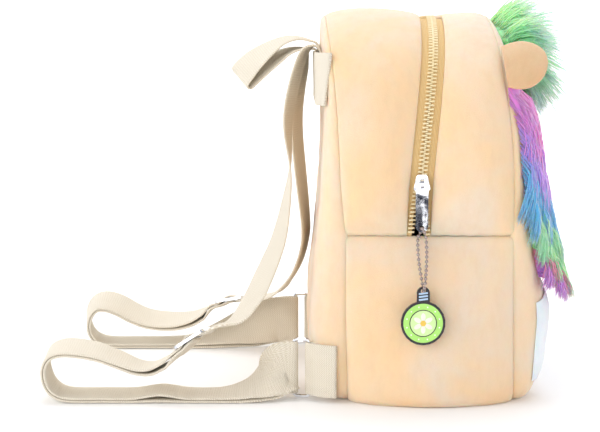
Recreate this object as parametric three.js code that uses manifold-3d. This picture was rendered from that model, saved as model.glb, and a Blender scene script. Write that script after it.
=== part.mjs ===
// A child's small plush backpack with an animal's ears and a rainbow mane, standing on its flat bottom.
// Millimetres. +X is the front with the mane, -X the back with the straps, -Y the near side, +Z up.
// The origin is the centre of the flat bottom.
import * as THREE from "three";
import { mergeVertices } from "three/addons/utils/BufferGeometryUtils.js";
import Module from "manifold-3d";

const wasm = await Module();
wasm.setup();

// Bag body
const bagWidth = 224;
const bagHeight = 262;
const gussetDepth = 114;
const topCornerRadius = 75;
const bottomCornerRadius = 14;
const padding = 5;
const seamGap = 0.3;
const splitHeight = 114;
const domeCentreHeight = 118;

// Zipper
const tapeShow = 8;
const tapeHalfWidth = 13;
const tapeThickness = 0.8;
const zipEdgeThickness = 2;
const toothHalfWidth = 3;
const toothThickness = 2.2;
const sliderRise = 35.5;
const sliderLength = 12;
const sliderTopWidth = 7.4;
const sliderBottomWidth = 11.2;
const sliderThickness = 2;
const openZipGap = 4.5;

// Pull, chain and charm
const pullLength = 32.5;
const pullWidth = 8.4;
const pullThickness = 1.6;
const pullBar = 1.8;
const archWidth = 2.4;
const archBar = 1.6;
const beadDiameter = 2.4;
const beadPitch = 3.3;
const wireDiameter = 0.8;
const charmDiameter = 29.6;
const charmThickness = 2.4;
const charmNeckWidth = 8.6;
const charmDrop = 90.8;
const eyeletDiameter = 3.4;
const eyeletInset = 2.9;
const charmNeckLength = 9.6;

// Webbing and its metal
const webbingWidth = 36;
const webbingThickness = 1.6;
const strapReach = 172.9;
const strapRise = 14.5;
const bandDrop = 43.5;
const ringWire = 2.5;
const ringWidth = 13.5;
const triglideLength = 24;
const triglideBar = 2.2;
const triglideThickness = 2;
const haulReach = 58;

// Plush trim
const earWidth = 36;
const earLength = 29;
const earThickness = 8;
const maneReach = 48;
const maneBacking = 4;
const muzzleThickness = 2.5;
const eyeDiameter = 15;
const eyeHeight = 4;

const sliderHeight = splitHeight + sliderRise;
const bandHeight = bagHeight - bandDrop;
const strapTop = bandHeight + strapRise;

// Lean and swell of the body: at is a share of bagHeight, the rest are shares of gussetDepth.
const bodyTable = [
  { at: 0, rear: -0.482, zip: -0.064, front: 0.513, backSwell: 0.19, frontSwell: 0.17 },
  { at: 0.14, rear: -0.49, zip: -0.064, front: 0.507, backSwell: 0.225, frontSwell: 0.215 },
  { at: 0.23, rear: -0.495, zip: -0.064, front: 0.503, backSwell: 0.212, frontSwell: 0.24 },
  { at: 0.32, rear: -0.497, zip: -0.064, front: 0.5, backSwell: 0.19, frontSwell: 0.2 },
  { at: 0.43, rear: -0.499, zip: -0.063, front: 0.5, backSwell: 0.163, frontSwell: 0.14 },
  { at: 0.55, rear: -0.524, zip: -0.052, front: 0.499, backSwell: 0.117, frontSwell: 0.1 },
  { at: 0.68, rear: -0.54, zip: -0.026, front: 0.484, backSwell: 0.085, frontSwell: 0.09 },
  { at: 0.8, rear: -0.558, zip: 0.002, front: 0.45, backSwell: 0.066, frontSwell: 0.085 },
  { at: 0.91, rear: -0.585, zip: 0.028, front: 0.42, backSwell: 0.05, frontSwell: 0.07 },
  { at: 1, rear: -0.612, zip: 0.04, front: 0.378, backSwell: 0.035, frontSwell: 0.05 },
];

// Outward swell of the side and top bands: pinched at the cross seam, full below it. at is 0 on the
// floor, seamShare at the cross seam and 1 at the top.
const seamShare = 0.435;
const crownTable = [
  { at: 0, crown: 0.17 },
  { at: 0.05, crown: 0.175 },
  { at: 0.12, crown: 0.165 },
  { at: 0.22, crown: 0.14 },
  { at: 0.3, crown: 0.115 },
  { at: 0.38, crown: 0.065 },
  { at: seamShare, crown: 0.012 },
  { at: 0.48, crown: 0.05 },
  { at: 0.6, crown: 0.078 },
  { at: 0.8, crown: 0.07 },
  { at: 1, crown: 0.055 },
];

// Shoulder straps, from the band's top edge to the adjuster. out is a share of strapReach beyond
// the ring, side of half the bag's width, up of strapTop, and roll turns the webbing about its own run.
const strapTables = {
  near: [
    { out: -0.084, side: 0.345, up: 1.034, roll: 0 },
    { out: -0.049, side: 0.345, up: 1.021, roll: -8 },
    { out: -0.022, side: 0.345, up: 0.978, roll: -10 },
    { out: 0.003, side: 0.345, up: 0.91, roll: -11 },
    { out: 0.023, side: 0.345, up: 0.833, roll: -10 },
    { out: 0.026, side: 0.35, up: 0.76, roll: -7 },
    { out: 0.017, side: 0.365, up: 0.67, roll: 0 },
    { out: 0.03, side: 0.393, up: 0.579, roll: 7 },
    { out: 0.062, side: 0.473, up: 0.461, roll: 14 },
    { out: 0.11, side: 0.58, up: 0.369, roll: 18 },
    { out: 0.169, side: 0.705, up: 0.279, roll: 16 },
    { out: 0.23, side: 0.804, up: 0.227, roll: 2 },
    { out: 0.288, side: 0.85, up: 0.214, roll: -8 },
  ],
  far: [
    { out: -0.087, side: 0.345, up: 1.034, roll: 0 },
    { out: -0.054, side: 0.345, up: 1.02, roll: -5 },
    { out: -0.038, side: 0.345, up: 0.961, roll: -12 },
    { out: -0.022, side: 0.345, up: 0.893, roll: -13 },
    { out: -0.011, side: 0.345, up: 0.815, roll: -13 },
    { out: -0.012, side: 0.345, up: 0.738, roll: -13 },
    { out: -0.022, side: 0.35, up: 0.652, roll: -13 },
    { out: -0.035, side: 0.36, up: 0.562, roll: -12 },
    { out: -0.048, side: 0.388, up: 0.464, roll: -10 },
    { out: -0.046, side: 0.438, up: 0.391, roll: -9 },
    { out: -0.017, side: 0.509, up: 0.309, roll: -8 },
    { out: 0.03, side: 0.589, up: 0.246, roll: -8 },
    { out: 0.091, side: 0.679, up: 0.197, roll: -8 },
    { out: 0.162, side: 0.763, up: 0.178, roll: -9 },
  ],
};
const triglideTable = {
  near: { out: 0.4, side: 0.866, up: 0.179, pitch: 33, roll: -10 },
  far: { out: 0.298, side: 0.866, up: 0.16, pitch: 10, roll: -9 },
};

// The doubled strap from the adjuster, round its loop on the floor and up to the ring.
// part is the space between the layers as a share of the webbing's thickness.
const loopTables = {
  near: [
    { out: 0.501, side: 0.866, up: 0.1, roll: -4, part: 1.4 },
    { out: 0.559, side: 0.866, up: 0.08, roll: -3, part: 1.3 },
    { out: 0.62, side: 0.866, up: 0.083, roll: 0, part: 0.7 },
    { out: 0.687, side: 0.866, up: 0.103, roll: 3, part: 0.3 },
    { out: 0.771, side: 0.866, up: 0.127, roll: 5, part: 0.2 },
    { out: 0.85, side: 0.866, up: 0.139, roll: 6, part: 0.2 },
    { out: 0.916, side: 0.866, up: 0.141, roll: 6, part: 0.2 },
    { out: 0.962, side: 0.866, up: 0.128, roll: 5, part: 0.2 },
    { out: 0.985, side: 0.866, up: 0.098, roll: 3, part: 0.2 },
    { out: 0.983, side: 0.866, up: 0.061, roll: 1, part: 0.2 },
    { out: 0.962, side: 0.866, up: 0.027, roll: 0, part: 0.2 },
    { out: 0.921, side: 0.866, up: 0.006, roll: 0, part: 0.2 },
    { out: 0.863, side: 0.866, up: 0, roll: 0, part: 0.2 },
    { out: 0.756, side: 0.866, up: 0, roll: 0, part: 0.2 },
    { out: 0.633, side: 0.866, up: 0, roll: 0, part: 0.3 },
    { out: 0.527, side: 0.866, up: 0.006, roll: 0, part: 1.6 },
    { out: 0.42, side: 0.866, up: 0, roll: 0, part: 0.3 },
    { out: 0.298, side: 0.866, up: 0, roll: 0, part: 0.3 },
    { out: 0.214, side: 0.866, up: 0.008, roll: -6, part: 0.6 },
    { out: 0.153, side: 0.866, up: 0.022, roll: -15, part: 1.4 },
    { out: 0.099, side: 0.867, up: 0.044, roll: -34, part: 2 },
  ],
  far: [
    { out: 0.42, side: 0.866, up: 0.101, roll: -1, part: 1.4 },
    { out: 0.479, side: 0.866, up: 0.082, roll: 4, part: 1.2 },
    { out: 0.55, side: 0.866, up: 0.074, roll: 9, part: 0.8 },
    { out: 0.618, side: 0.866, up: 0.075, roll: 11, part: 0.5 },
    { out: 0.687, side: 0.866, up: 0.083, roll: 12, part: 0.3 },
    { out: 0.751, side: 0.866, up: 0.102, roll: 13, part: 0.2 },
    { out: 0.815, side: 0.866, up: 0.128, roll: 14, part: 0.2 },
    { out: 0.873, side: 0.866, up: 0.142, roll: 14, part: 0.2 },
    { out: 0.919, side: 0.866, up: 0.138, roll: 13, part: 0.2 },
    { out: 0.948, side: 0.866, up: 0.116, roll: 11, part: 0.2 },
    { out: 0.96, side: 0.866, up: 0.086, roll: 8, part: 0.2 },
    { out: 0.957, side: 0.866, up: 0.054, roll: 5, part: 0.2 },
    { out: 0.939, side: 0.866, up: 0.026, roll: 3, part: 0.2 },
    { out: 0.901, side: 0.866, up: 0.006, roll: 0, part: 0.2 },
    { out: 0.847, side: 0.866, up: 0, roll: 0, part: 0.2 },
    { out: 0.725, side: 0.866, up: 0, roll: 0, part: 0.2 },
    { out: 0.603, side: 0.866, up: 0, roll: 0, part: 0.3 },
    { out: 0.496, side: 0.866, up: 0.003, roll: -2, part: 0.4 },
    { out: 0.407, side: 0.866, up: 0.013, roll: -12, part: 0.8 },
    { out: 0.32, side: 0.868, up: 0.03, roll: -25, part: 1.4 },
    { out: 0.236, side: 0.872, up: 0.048, roll: -42, part: 1.8 },
    { out: 0.145, side: 0.872, up: 0.068, roll: -62, part: 2 },
    { out: 0.091, side: 0.872, up: 0.078, roll: -78, part: 2 },
  ],
};

// Hanging loop: out is a share of haulReach beyond the back, drop is below the band's top edge,
// side and spread are shares of the webbing's width.
const haulTable = [
  { out: 0.04, drop: -0.07, side: 0, roll: 0, spread: 0.08 },
  { out: 0.22, drop: -0.1, side: 0, roll: 2, spread: 0.16 },
  { out: 0.4, drop: -0.07, side: 0, roll: 8, spread: 0.2 },
  { out: 0.6, drop: 0.04, side: 0, roll: 17, spread: 0.2 },
  { out: 0.8, drop: 0.18, side: 0, roll: 26, spread: 0.15 },
  { out: 0.95, drop: 0.32, side: 0, roll: 30, spread: 0.08 },
];

// Locks of long pile. side and up place the root on the front panel as shares of half its width and
// of its height. rise and reach are shares of maneReach, tip is the share of the reach that the lock
// still has where it ends, drop is a share of bagHeight, sway and width of half the bag's width.
const topLocks = [
  { side: -0.5, up: 0.925, rise: 0.18, reach: 0.6, drop: 0.1, tip: 0.7, sway: -0.04, width: 0.12 },
  { side: -0.35, up: 0.945, rise: 0.26, reach: 0.82, drop: 0.31, tip: 0.4, sway: 0.02, width: 0.12 },
  { side: -0.2, up: 0.955, rise: 0.24, reach: 0.95, drop: 0.09, tip: 1, sway: -0.05, width: 0.12 },
  { side: -0.06, up: 0.955, rise: 0.2, reach: 0.74, drop: 0.35, tip: 0.38, sway: 0.04, width: 0.13 },
  { side: 0.1, up: 0.955, rise: 0.24, reach: 0.9, drop: 0.15, tip: 0.8, sway: -0.04, width: 0.12 },
  { side: 0.25, up: 0.95, rise: 0.22, reach: 0.8, drop: 0.32, tip: 0.4, sway: 0.02, width: 0.12 },
  { side: 0.38, up: 0.94, rise: 0.24, reach: 0.82, drop: 0.12, tip: 0.85, sway: 0.02, width: 0.12 },
  { side: 0.5, up: 0.922, rise: 0.17, reach: 0.62, drop: 0.1, tip: 0.6, sway: 0.03, width: 0.11 },
];
const sideLocks = [
  { side: 0.66, up: 0.79, rise: 0.04, reach: 0.27, drop: 0.19, tip: 1, sway: 0.02, width: 0.12 },
  { side: 0.85, up: 0.76, rise: 0.03, reach: 0.22, drop: 0.19, tip: 1, sway: 0, width: 0.1 },
  { side: 0.67, up: 0.67, rise: 0.02, reach: 0.26, drop: 0.19, tip: 1.1, sway: 0.02, width: 0.12 },
  { side: 0.85, up: 0.63, rise: 0.02, reach: 0.23, drop: 0.19, tip: 1.1, sway: -0.02, width: 0.1 },
  { side: 0.68, up: 0.55, rise: 0.02, reach: 0.26, drop: 0.2, tip: 1.2, sway: 0.02, width: 0.12 },
  { side: 0.82, up: 0.5, rise: 0.02, reach: 0.24, drop: 0.2, tip: 1.2, sway: -0.04, width: 0.1 },
  { side: 0.7, up: 0.43, rise: 0.01, reach: 0.27, drop: 0.17, tip: 1.2, sway: 0.02, width: 0.1 },
];

// Few chosen points of the ball chain's closed loop: across is from the pull's middle line, outward
// from the hinge axis and down from it.
const chainRoute = [
  { across: 0, outward: 0, down: 29.7 },
  { across: 0.5, outward: 2.4, down: 30.3 },
  { across: 2.1, outward: 3.4, down: 33.4 },
  { across: 2.9, outward: 5.2, down: 42 },
  { across: 2.3, outward: 12, down: 55 },
  { across: 1, outward: 19.8, down: 64 },
  { across: 0.4, outward: 20.3, down: 67.6 },
  { across: 0.2, outward: 17.6, down: 69.3 },
  { across: 0, outward: 14.7, down: 67.6 },
  { across: -0.8, outward: 13.4, down: 62.6 },
  { across: -2.4, outward: 8.4, down: 51 },
  { across: -2.9, outward: 3.4, down: 40.4 },
  { across: -2.4, outward: 0.6, down: 35.6 },
  { across: -1, outward: -1.6, down: 33.2 },
  { across: -0.3, outward: -2.3, down: 30.4 },
];

const plush = new THREE.MeshStandardMaterial({ color: 0xf6ddbb, roughness: 0.95, metalness: 0 });
const whitePlush = new THREE.MeshStandardMaterial({ color: 0xfbf7f2, roughness: 0.95, metalness: 0 });
const earPlush = new THREE.MeshStandardMaterial({ color: 0xe3c7a0, roughness: 0.95, metalness: 0 });
const zipCloth = new THREE.MeshStandardMaterial({ color: 0xedc274, roughness: 0.9, metalness: 0 });
const zipTooth = new THREE.MeshStandardMaterial({ color: 0xf0dcab, roughness: 0.45, metalness: 0 });
const chrome = new THREE.MeshStandardMaterial({ color: 0xd8dade, roughness: 0.15, metalness: 1 });
const webbing = new THREE.MeshStandardMaterial({ color: 0xe6decf, roughness: 0.9, metalness: 0 });
const enamel = new THREE.MeshStandardMaterial({ color: 0xb4f07a, roughness: 0.2, metalness: 0 });
const greenPile = new THREE.MeshStandardMaterial({ color: 0x8fe89a, roughness: 0.9, metalness: 0 });
const mixedPile = new THREE.MeshStandardMaterial({ color: 0xd98ae0, roughness: 0.9, metalness: 0 });
const glossPlastic = new THREE.MeshStandardMaterial({ color: 0x17110f, roughness: 0.12, metalness: 0 });

const backpack = new THREE.Group();

function addPiece(parent, name, geometry, material) {
  const mesh = new THREE.Mesh(geometry, material);
  mesh.name = name;
  parent.add(mesh);
  return mesh;
}

// Smooth reading of one column of a table at a share along it.
function read(table, column, share) {
  const last = table.length - 1;
  const next = THREE.MathUtils.clamp(table.findIndex((row) => row.at >= share), 1, last);
  const i = share > table[last].at ? last : next;
  const a = table[i - 1];
  const b = table[i];
  const before = table[Math.max(i - 2, 0)];
  const after = table[Math.min(i + 1, last)];
  const span = b.at - a.at;
  const t = THREE.MathUtils.clamp((share - a.at) / span, 0, 1);
  const slopeA = ((b[column] - before[column]) / (b.at - before.at)) * span;
  const slopeB = ((after[column] - a[column]) / (after.at - a.at)) * span;
  const rise = b[column] - a[column];
  return a[column] + t * slopeA + t * t * (3 * rise - 2 * slopeA - slopeB) +
    t * t * t * (slopeA + slopeB - 2 * rise);
}

function bodyAt(column, z) {
  return gussetDepth * read(bodyTable, column, z / bagHeight);
}

function crownAt(z) {
  const share = z < splitHeight
    ? (seamShare * z) / splitHeight
    : seamShare + ((1 - seamShare) * (z - splitHeight)) / (bagHeight - splitHeight);
  return gussetDepth * read(crownTable, "crown", share);
}

// One closed body from rings of points. A ring of one point closes that end to a tip, any other
// end is capped flat, and looped joins the last ring to the first. Each square between two rings is
// split along its shorter diagonal, so that the two faces of twisted webbing stay parallel.
function closedBody(rings, looped = false) {
  const position = [];
  const start = [];
  const faces = [];
  for (const ring of rings) {
    start.push(position.length / 3);
    for (const p of ring) position.push(p.x, p.y, p.z);
  }
  const bands = looped ? rings.length : rings.length - 1;
  for (let i = 0; i < bands; i++) {
    const j = (i + 1) % rings.length;
    const n = Math.max(rings[i].length, rings[j].length);
    for (let k = 0; k < n; k++) {
      const m = (k + 1) % n;
      const a = start[i] + (rings[i].length === 1 ? 0 : k);
      const b = start[i] + (rings[i].length === 1 ? 0 : m);
      const c = start[j] + (rings[j].length === 1 ? 0 : k);
      const d = start[j] + (rings[j].length === 1 ? 0 : m);
      const tapered = rings[i].length === 1 || rings[j].length === 1;
      if (!tapered && rings[i][k].distanceTo(rings[j][m]) < rings[i][m].distanceTo(rings[j][k]) - 1e-6) {
        faces.push(a, b, d, a, d, c);
        continue;
      }
      if (rings[i].length > 1) faces.push(a, b, c);
      if (rings[j].length > 1) faces.push(b, d, c);
    }
  }
  if (!looped) {
    capRing(rings[0], start[0], faces, true);
    capRing(rings[rings.length - 1], start[rings.length - 1], faces, false);
  }
  const geometry = new THREE.BufferGeometry();
  geometry.setAttribute("position", new THREE.Float32BufferAttribute(position, 3));
  geometry.setIndex(faces);
  return facedOutwards(geometry);
}

function capRing(ring, first, faces, reversed) {
  if (ring.length < 3) return;
  const middle = ring.reduce((sum, p) => sum.add(p), new THREE.Vector3()).divideScalar(ring.length);
  const normal = new THREE.Vector3();
  ring.forEach((p, k) => {
    const q = ring[(k + 1) % ring.length];
    normal.add(p.clone().sub(middle).cross(q.clone().sub(middle)));
  });
  normal.normalize();
  const u = ring[0].clone().sub(middle).projectOnPlane(normal).normalize();
  const v = normal.clone().cross(u);
  const flat = ring.map((p) => new THREE.Vector2(p.clone().sub(middle).dot(u), p.clone().sub(middle).dot(v)));
  for (const [a, b, c] of THREE.ShapeUtils.triangulateShape(flat, [])) {
    if (reversed) faces.push(first + a, first + c, first + b);
    else faces.push(first + a, first + b, first + c);
  }
}

function facedOutwards(geometry) {
  const index = geometry.index.array;
  const p = geometry.attributes.position;
  let volume = 0;
  for (let i = 0; i < index.length; i += 3) {
    const [a, b, c] = [0, 1, 2].map((k) => new THREE.Vector3().fromBufferAttribute(p, index[i + k]));
    volume += a.dot(b.cross(c));
  }
  if (volume < 0) {
    for (let i = 0; i < index.length; i += 3) [index[i + 1], index[i + 2]] = [index[i + 2], index[i + 1]];
  }
  return geometry;
}

function solidOf(geometry) {
  const bare = geometry.clone();
  bare.deleteAttribute("normal");
  bare.deleteAttribute("uv");
  const merged = mergeVertices(bare, 1e-4);
  return new wasm.Manifold(new wasm.Mesh({
    numProp: 3,
    vertProperties: merged.attributes.position.array,
    triVerts: new Uint32Array(merged.index.array),
  }));
}

function geometryOf(solid) {
  const mesh = solid.getMesh();
  const geometry = new THREE.BufferGeometry();
  geometry.setAttribute("position", new THREE.BufferAttribute(new Float32Array(mesh.vertProperties), 3));
  geometry.setIndex(new THREE.BufferAttribute(new Uint32Array(mesh.triVerts), 1));
  return geometry;
}

function fused(geometries) {
  return geometryOf(geometries.map(solidOf).reduce((sum, solid) => sum.add(solid)));
}

// The body's outline in the YZ plane, from the bottom centre up the far side to the top centre.
// Each station has its outward normal.
function halfOutline() {
  const half = bagWidth / 2;
  const stations = [
    { y: 0, z: 0, ny: 0, nz: -1 },
    { y: (half - bottomCornerRadius) / 2, z: 0, ny: 0, nz: -1 },
  ];
  const corner = (y, z, radius, from, steps) => {
    for (let k = 0; k <= steps; k++) {
      const angle = from + (k / steps) * (Math.PI / 2);
      const ny = Math.cos(angle);
      const nz = Math.sin(angle);
      stations.push({ y: y + radius * ny, z: z + radius * nz, ny, nz });
    }
  };
  corner(half - bottomCornerRadius, bottomCornerRadius, bottomCornerRadius, -Math.PI / 2, 3);
  const sideTop = bagHeight - topCornerRadius;
  for (const share of [0.5, 0.75, 1]) {
    const z = bottomCornerRadius + share * (splitHeight - bottomCornerRadius);
    stations.push({ y: half, z, ny: 1, nz: 0 });
  }
  for (const share of [0.1, 0.3, 0.6]) {
    stations.push({ y: half, z: splitHeight + share * (sideTop - splitHeight), ny: 1, nz: 0 });
  }
  corner(half - topCornerRadius, sideTop, topCornerRadius, 0, 7);
  stations.push({ y: 0, z: bagHeight, ny: 0, nz: 1 });
  return stations;
}

const farHalf = halfOutline();
const nearHalf = farHalf.map((s) => ({ ...s, y: -s.y, ny: -s.ny }));
const wholeLoop = [...farHalf, ...nearHalf.slice(1, -1).reverse()];
const splitStation = farHalf.findIndex((s) => Math.abs(s.z - splitHeight) < 1e-6 && s.ny === 1);

function onStation(station, x, offset) {
  return new THREE.Vector3(x, station.y + station.ny * offset, Math.max(0, station.z + station.nz * offset));
}

// How far out a point of a panel lies, from 0 at the dome's centre to 1 on the seam.
function insideOutline(y, z) {
  const half = bagWidth / 2;
  const radius = z > domeCentreHeight ? topCornerRadius : bottomCornerRadius;
  const cornerY = half - radius;
  const cornerZ = z > domeCentreHeight ? bagHeight - radius : radius;
  const beyondY = Math.abs(y) - cornerY;
  const beyondZ = z > domeCentreHeight ? z - cornerZ : cornerZ - z;
  if (beyondY > 0 && beyondZ > 0) return Math.hypot(beyondY, beyondZ) < radius;
  return Math.abs(y) < half && z > 0 && z < bagHeight;
}

function panelShare(y, z) {
  let low = 0;
  let high = 8;
  for (let k = 0; k < 40; k++) {
    const scale = (low + high) / 2;
    if (insideOutline(y * scale, domeCentreHeight + (z - domeCentreHeight) * scale)) low = scale;
    else high = scale;
  }
  return Math.min(1, 1 / low);
}

// A padded panel is full in its middle and turns in steeply at its seam.
const domeFlatness = 8;
const domeShoulder = 0.385;
function domeFullness(share) {
  return Math.max(0, 1 - share ** domeFlatness) ** domeShoulder;
}

function panelX(face, y, z) {
  const fullness = domeFullness(panelShare(y, z));
  if (face === "back") return bodyAt("rear", z) - bodyAt("backSwell", z) * fullness;
  return bodyAt("front", z) + bodyAt("frontSwell", z) * fullness;
}

function panelPoint(face, y, z, lift = 0) {
  const step = 0.5;
  const x = panelX(face, y, z);
  const alongY = new THREE.Vector3(panelX(face, y + step, z) - panelX(face, y - step, z), 2 * step, 0);
  const alongZ = new THREE.Vector3(panelX(face, y, z + step) - panelX(face, y, z - step), 0, 2 * step);
  const normal = alongY.cross(alongZ).normalize();
  if ((face === "back") === normal.x > 0) normal.negate();
  return { point: new THREE.Vector3(x, y, z).addScaledVector(normal, lift), normal };
}

const panelShares = [0.4, 0.7, 0.86, 0.95, 0.99, 1];
function panel(face) {
  const seam = face === "back" ? "rear" : "front";
  const swell = face === "back" ? "backSwell" : "frontSwell";
  const out = face === "back" ? -1 : 1;
  const ringAt = (share, inset) => wholeLoop.map((s) => {
    const y = (s.y - s.ny * inset) * share;
    const z = domeCentreHeight + (s.z - s.nz * inset - domeCentreHeight) * share;
    const fullness = domeFullness(share);
    return new THREE.Vector3(bodyAt(seam, z) + out * (bodyAt(swell, z) * fullness - inset), y, z);
  });
  const middle = (inset) => [ringAt(0, inset)[0]];
  return closedBody([
    middle(0),
    ...panelShares.map((share) => ringAt(share, 0)),
    ...[1, 0.85].map((share) => ringAt(share, padding)),
    middle(padding),
  ]);
}

addPiece(backpack, "back_panel", panel("back"), plush);
addPiece(backpack, "front_panel", panel("front"), plush);

// A band of the gusset between two edges in X, given as functions of height. A seam edge is mitred
// to meet its panel, and a zipper edge is thin over the tape.
function bandSection(station, from, to) {
  const crown = crownAt(station.z);
  const start = from.edge(station.z);
  const end = to.edge(station.z);
  const outer = [0, 0.08, 0.3, 0.7, 0.92, 1].map((u) =>
    onStation(station, start + u * (end - start), crown * Math.sin(Math.PI * u) ** 0.6));
  return [...outer, ...innerEdge(station, to, -1), ...innerEdge(station, from, 1).reverse()];
}
function innerEdge(station, side, inwards) {
  if (side.seam) {
    const z = Math.max(0, station.z - station.nz * padding);
    return [onStation(station, side.edge(z) + inwards * padding, -padding)];
  }
  const z = station.z - station.nz * zipEdgeThickness;
  const edge = side.edge(z);
  const lap = tapeHalfWidth - tapeShow + seamGap;
  return [onStation(station, edge, -zipEdgeThickness), onStation(station, edge + inwards * lap, -zipEdgeThickness)];
}

const mitreGap = seamGap * 1.5;
const rearSeam = { seam: true, edge: (z) => bodyAt("rear", z) + mitreGap };
const frontSeam = { seam: true, edge: (z) => bodyAt("front", z) - mitreGap };
const zipMiddle = (z) => bodyAt("zip", z);
const sliderTopHeight = sliderHeight + sliderLength / 2;

// Below the slider, on the near side alone, the two halves of the zipper stand apart.
function zipOpening(station) {
  if (station.y > 0 || station.z > sliderTopHeight) return 0;
  return openZipGap * ((sliderTopHeight - station.z) / (sliderTopHeight - splitHeight)) ** 0.6;
}

const rearZipEdge = { seam: false, edge: (z) => zipMiddle(z) - tapeShow };
const frontZipEdge = { seam: false, edge: (z) => zipMiddle(z) + tapeShow };

const upperPath = [...farHalf.slice(splitStation), ...nearHalf.slice(splitStation, -1).reverse()];
const lowerPath = [
  ...nearHalf.slice(1, splitStation + 1).reverse(),
  ...farHalf.slice(0, splitStation + 1),
];
const endsPulledIn = (path, amount) => path.map((s, k) =>
  k === 0 || k === path.length - 1 ? { ...s, z: s.z + amount } : s);

addPiece(backpack, "gusset_rear", closedBody(upperPath.map((s) => bandSection(s, rearSeam, rearZipEdge))), plush);
addPiece(backpack, "gusset_front", closedBody(upperPath.map((s) => bandSection(s, frontZipEdge, frontSeam))), plush);
addPiece(backpack, "gusset_lower",
  closedBody(endsPulledIn(lowerPath, -seamGap).map((s) => bandSection(s, rearSeam, frontSeam))), plush);

// Zipper: each tape is sewn under its strip, and the teeth stand on the tapes' inner edges.
const tapeTop = -zipEdgeThickness - seamGap;
function stripAlong(path, edges, low, high) {
  return closedBody(path.map((s) => {
    const [a, b] = edges(s);
    return [onStation(s, a, low), onStation(s, b, low), onStation(s, b, high), onStation(s, a, high)];
  }));
}
for (const [name, way] of [["rear", -1], ["front", 1]]) {
  const tape = (s) => [
    zipMiddle(s.z) + way * (seamGap + zipOpening(s)),
    zipMiddle(s.z) + way * tapeHalfWidth,
  ];
  const teeth = (s) => [
    zipMiddle(s.z) + way * (seamGap / 2 + zipOpening(s)),
    zipMiddle(s.z) + way * (toothHalfWidth + zipOpening(s)),
  ];
  const toothLow = tapeTop + seamGap;
  addPiece(backpack, "zip_tape_" + name, stripAlong(upperPath, tape, tapeTop - tapeThickness, tapeTop), zipCloth);
  addPiece(backpack, "zip_teeth_" + name,
    stripAlong(upperPath, teeth, toothLow, toothLow + toothThickness), zipTooth);
}
const toothTop = tapeTop + seamGap + toothThickness;

// Slider: a tapered plate on the teeth with an arch that holds the pull.
const sliderFace = bagWidth / 2 + toothTop + seamGap;
const pullSwing = Math.hypot(pullBar, pullThickness) / 2 + seamGap;
const hingeOut = sliderFace + sliderThickness + pullSwing;
const zipDrop = new THREE.Group();
zipDrop.position.set(zipMiddle(sliderHeight), -hingeOut, sliderHeight);
backpack.add(zipDrop);

function extruded(shape, depth, curveSegments = 6) {
  const spaced = (path) => path.getPoints(curveSegments)
    .filter((p, k, all) => p.distanceTo(all[(k + 1) % all.length]) > 1e-3);
  const geometry = new THREE.ExtrudeGeometry(new THREE.Shape(spaced(shape)), { depth, bevelEnabled: false });
  geometry.translate(0, 0, -depth / 2);
  return geometry;
}

function pierced(shape, holes, depth, curveSegments) {
  const tools = holes.map((hole) => solidOf(extruded(hole, depth + 1, curveSegments)));
  return geometryOf(tools.reduce((solid, tool) => solid.subtract(tool), solidOf(extruded(shape, depth, curveSegments))));
}

// Turns a shape drawn in XY to stand in XZ, with its thickness along Y.
const standing = (geometry) => geometry.rotateX(Math.PI / 2);

function sliderGeometry() {
  const top = sliderTopWidth / 2;
  const bottom = sliderBottomWidth / 2;
  const half = sliderLength / 2;
  const plate = new THREE.Shape();
  plate.moveTo(-top + 1, half);
  plate.lineTo(top - 1, half);
  plate.lineTo(top, half - 1);
  plate.lineTo(bottom, -half + 2.5);
  plate.lineTo(bottom - 2, -half);
  plate.lineTo(-bottom + 2, -half);
  plate.lineTo(-bottom, -half + 2.5);
  plate.lineTo(-top, half - 1);
  plate.closePath();
  const plateBody = standing(extruded(plate, sliderThickness));
  plateBody.translate(0, hingeOut - sliderFace - sliderThickness / 2, 0);
  const inner = pullSwing;
  const outer = inner + archBar;
  const foot = hingeOut - sliderFace - sliderThickness / 2;
  const arch = new THREE.Shape();
  arch.moveTo(-foot, -outer);
  arch.lineTo(0, -outer);
  arch.absarc(0, 0, outer, -Math.PI / 2, Math.PI / 2, false);
  arch.lineTo(-foot, outer);
  arch.lineTo(-foot, inner);
  arch.lineTo(0, inner);
  arch.absarc(0, 0, inner, Math.PI / 2, -Math.PI / 2, true);
  arch.lineTo(-foot, -inner);
  arch.closePath();
  const archBody = extruded(arch, archWidth);
  // The arch is drawn with x outwards and y up, and stands in the YZ plane.
  archBody.applyMatrix4(new THREE.Matrix4().makeBasis(
    new THREE.Vector3(0, -1, 0), new THREE.Vector3(0, 0, 1), new THREE.Vector3(-1, 0, 0)));
  return fused([plateBody, archBody]);
}
const slider = addPiece(backpack, "zip_slider", sliderGeometry(), chrome);
slider.position.copy(zipDrop.position);

// Pull: a tab whose window goes round the arch, with an eyelet for the chain.
function pullGeometry() {
  const half = pullWidth / 2;
  const window = pullSwing + archBar + 1.2;
  const sill = half - 1.6;
  const shape = new THREE.Shape();
  shape.moveTo(-half + 1, pullBar / 2);
  shape.lineTo(half - 1, pullBar / 2);
  shape.lineTo(half, pullBar / 2 - 1);
  shape.lineTo(half, -pullLength + half);
  shape.absarc(0, -pullLength + half, half, 0, -Math.PI, true);
  shape.lineTo(-half, pullBar / 2 - 1);
  shape.closePath();
  const opening = new THREE.Shape();
  opening.moveTo(-sill, -pullBar / 2);
  opening.lineTo(-sill, -window);
  opening.lineTo(sill, -window);
  opening.lineTo(sill, -pullBar / 2);
  opening.closePath();
  const eyelet = new THREE.Shape();
  eyelet.absarc(0, -pullLength + eyeletInset, eyeletDiameter / 2, 0, 2 * Math.PI, false);
  return standing(pierced(shape, [opening, eyelet], pullThickness, 5));
}
addPiece(zipDrop, "zip_pull", pullGeometry(), chrome);

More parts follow.
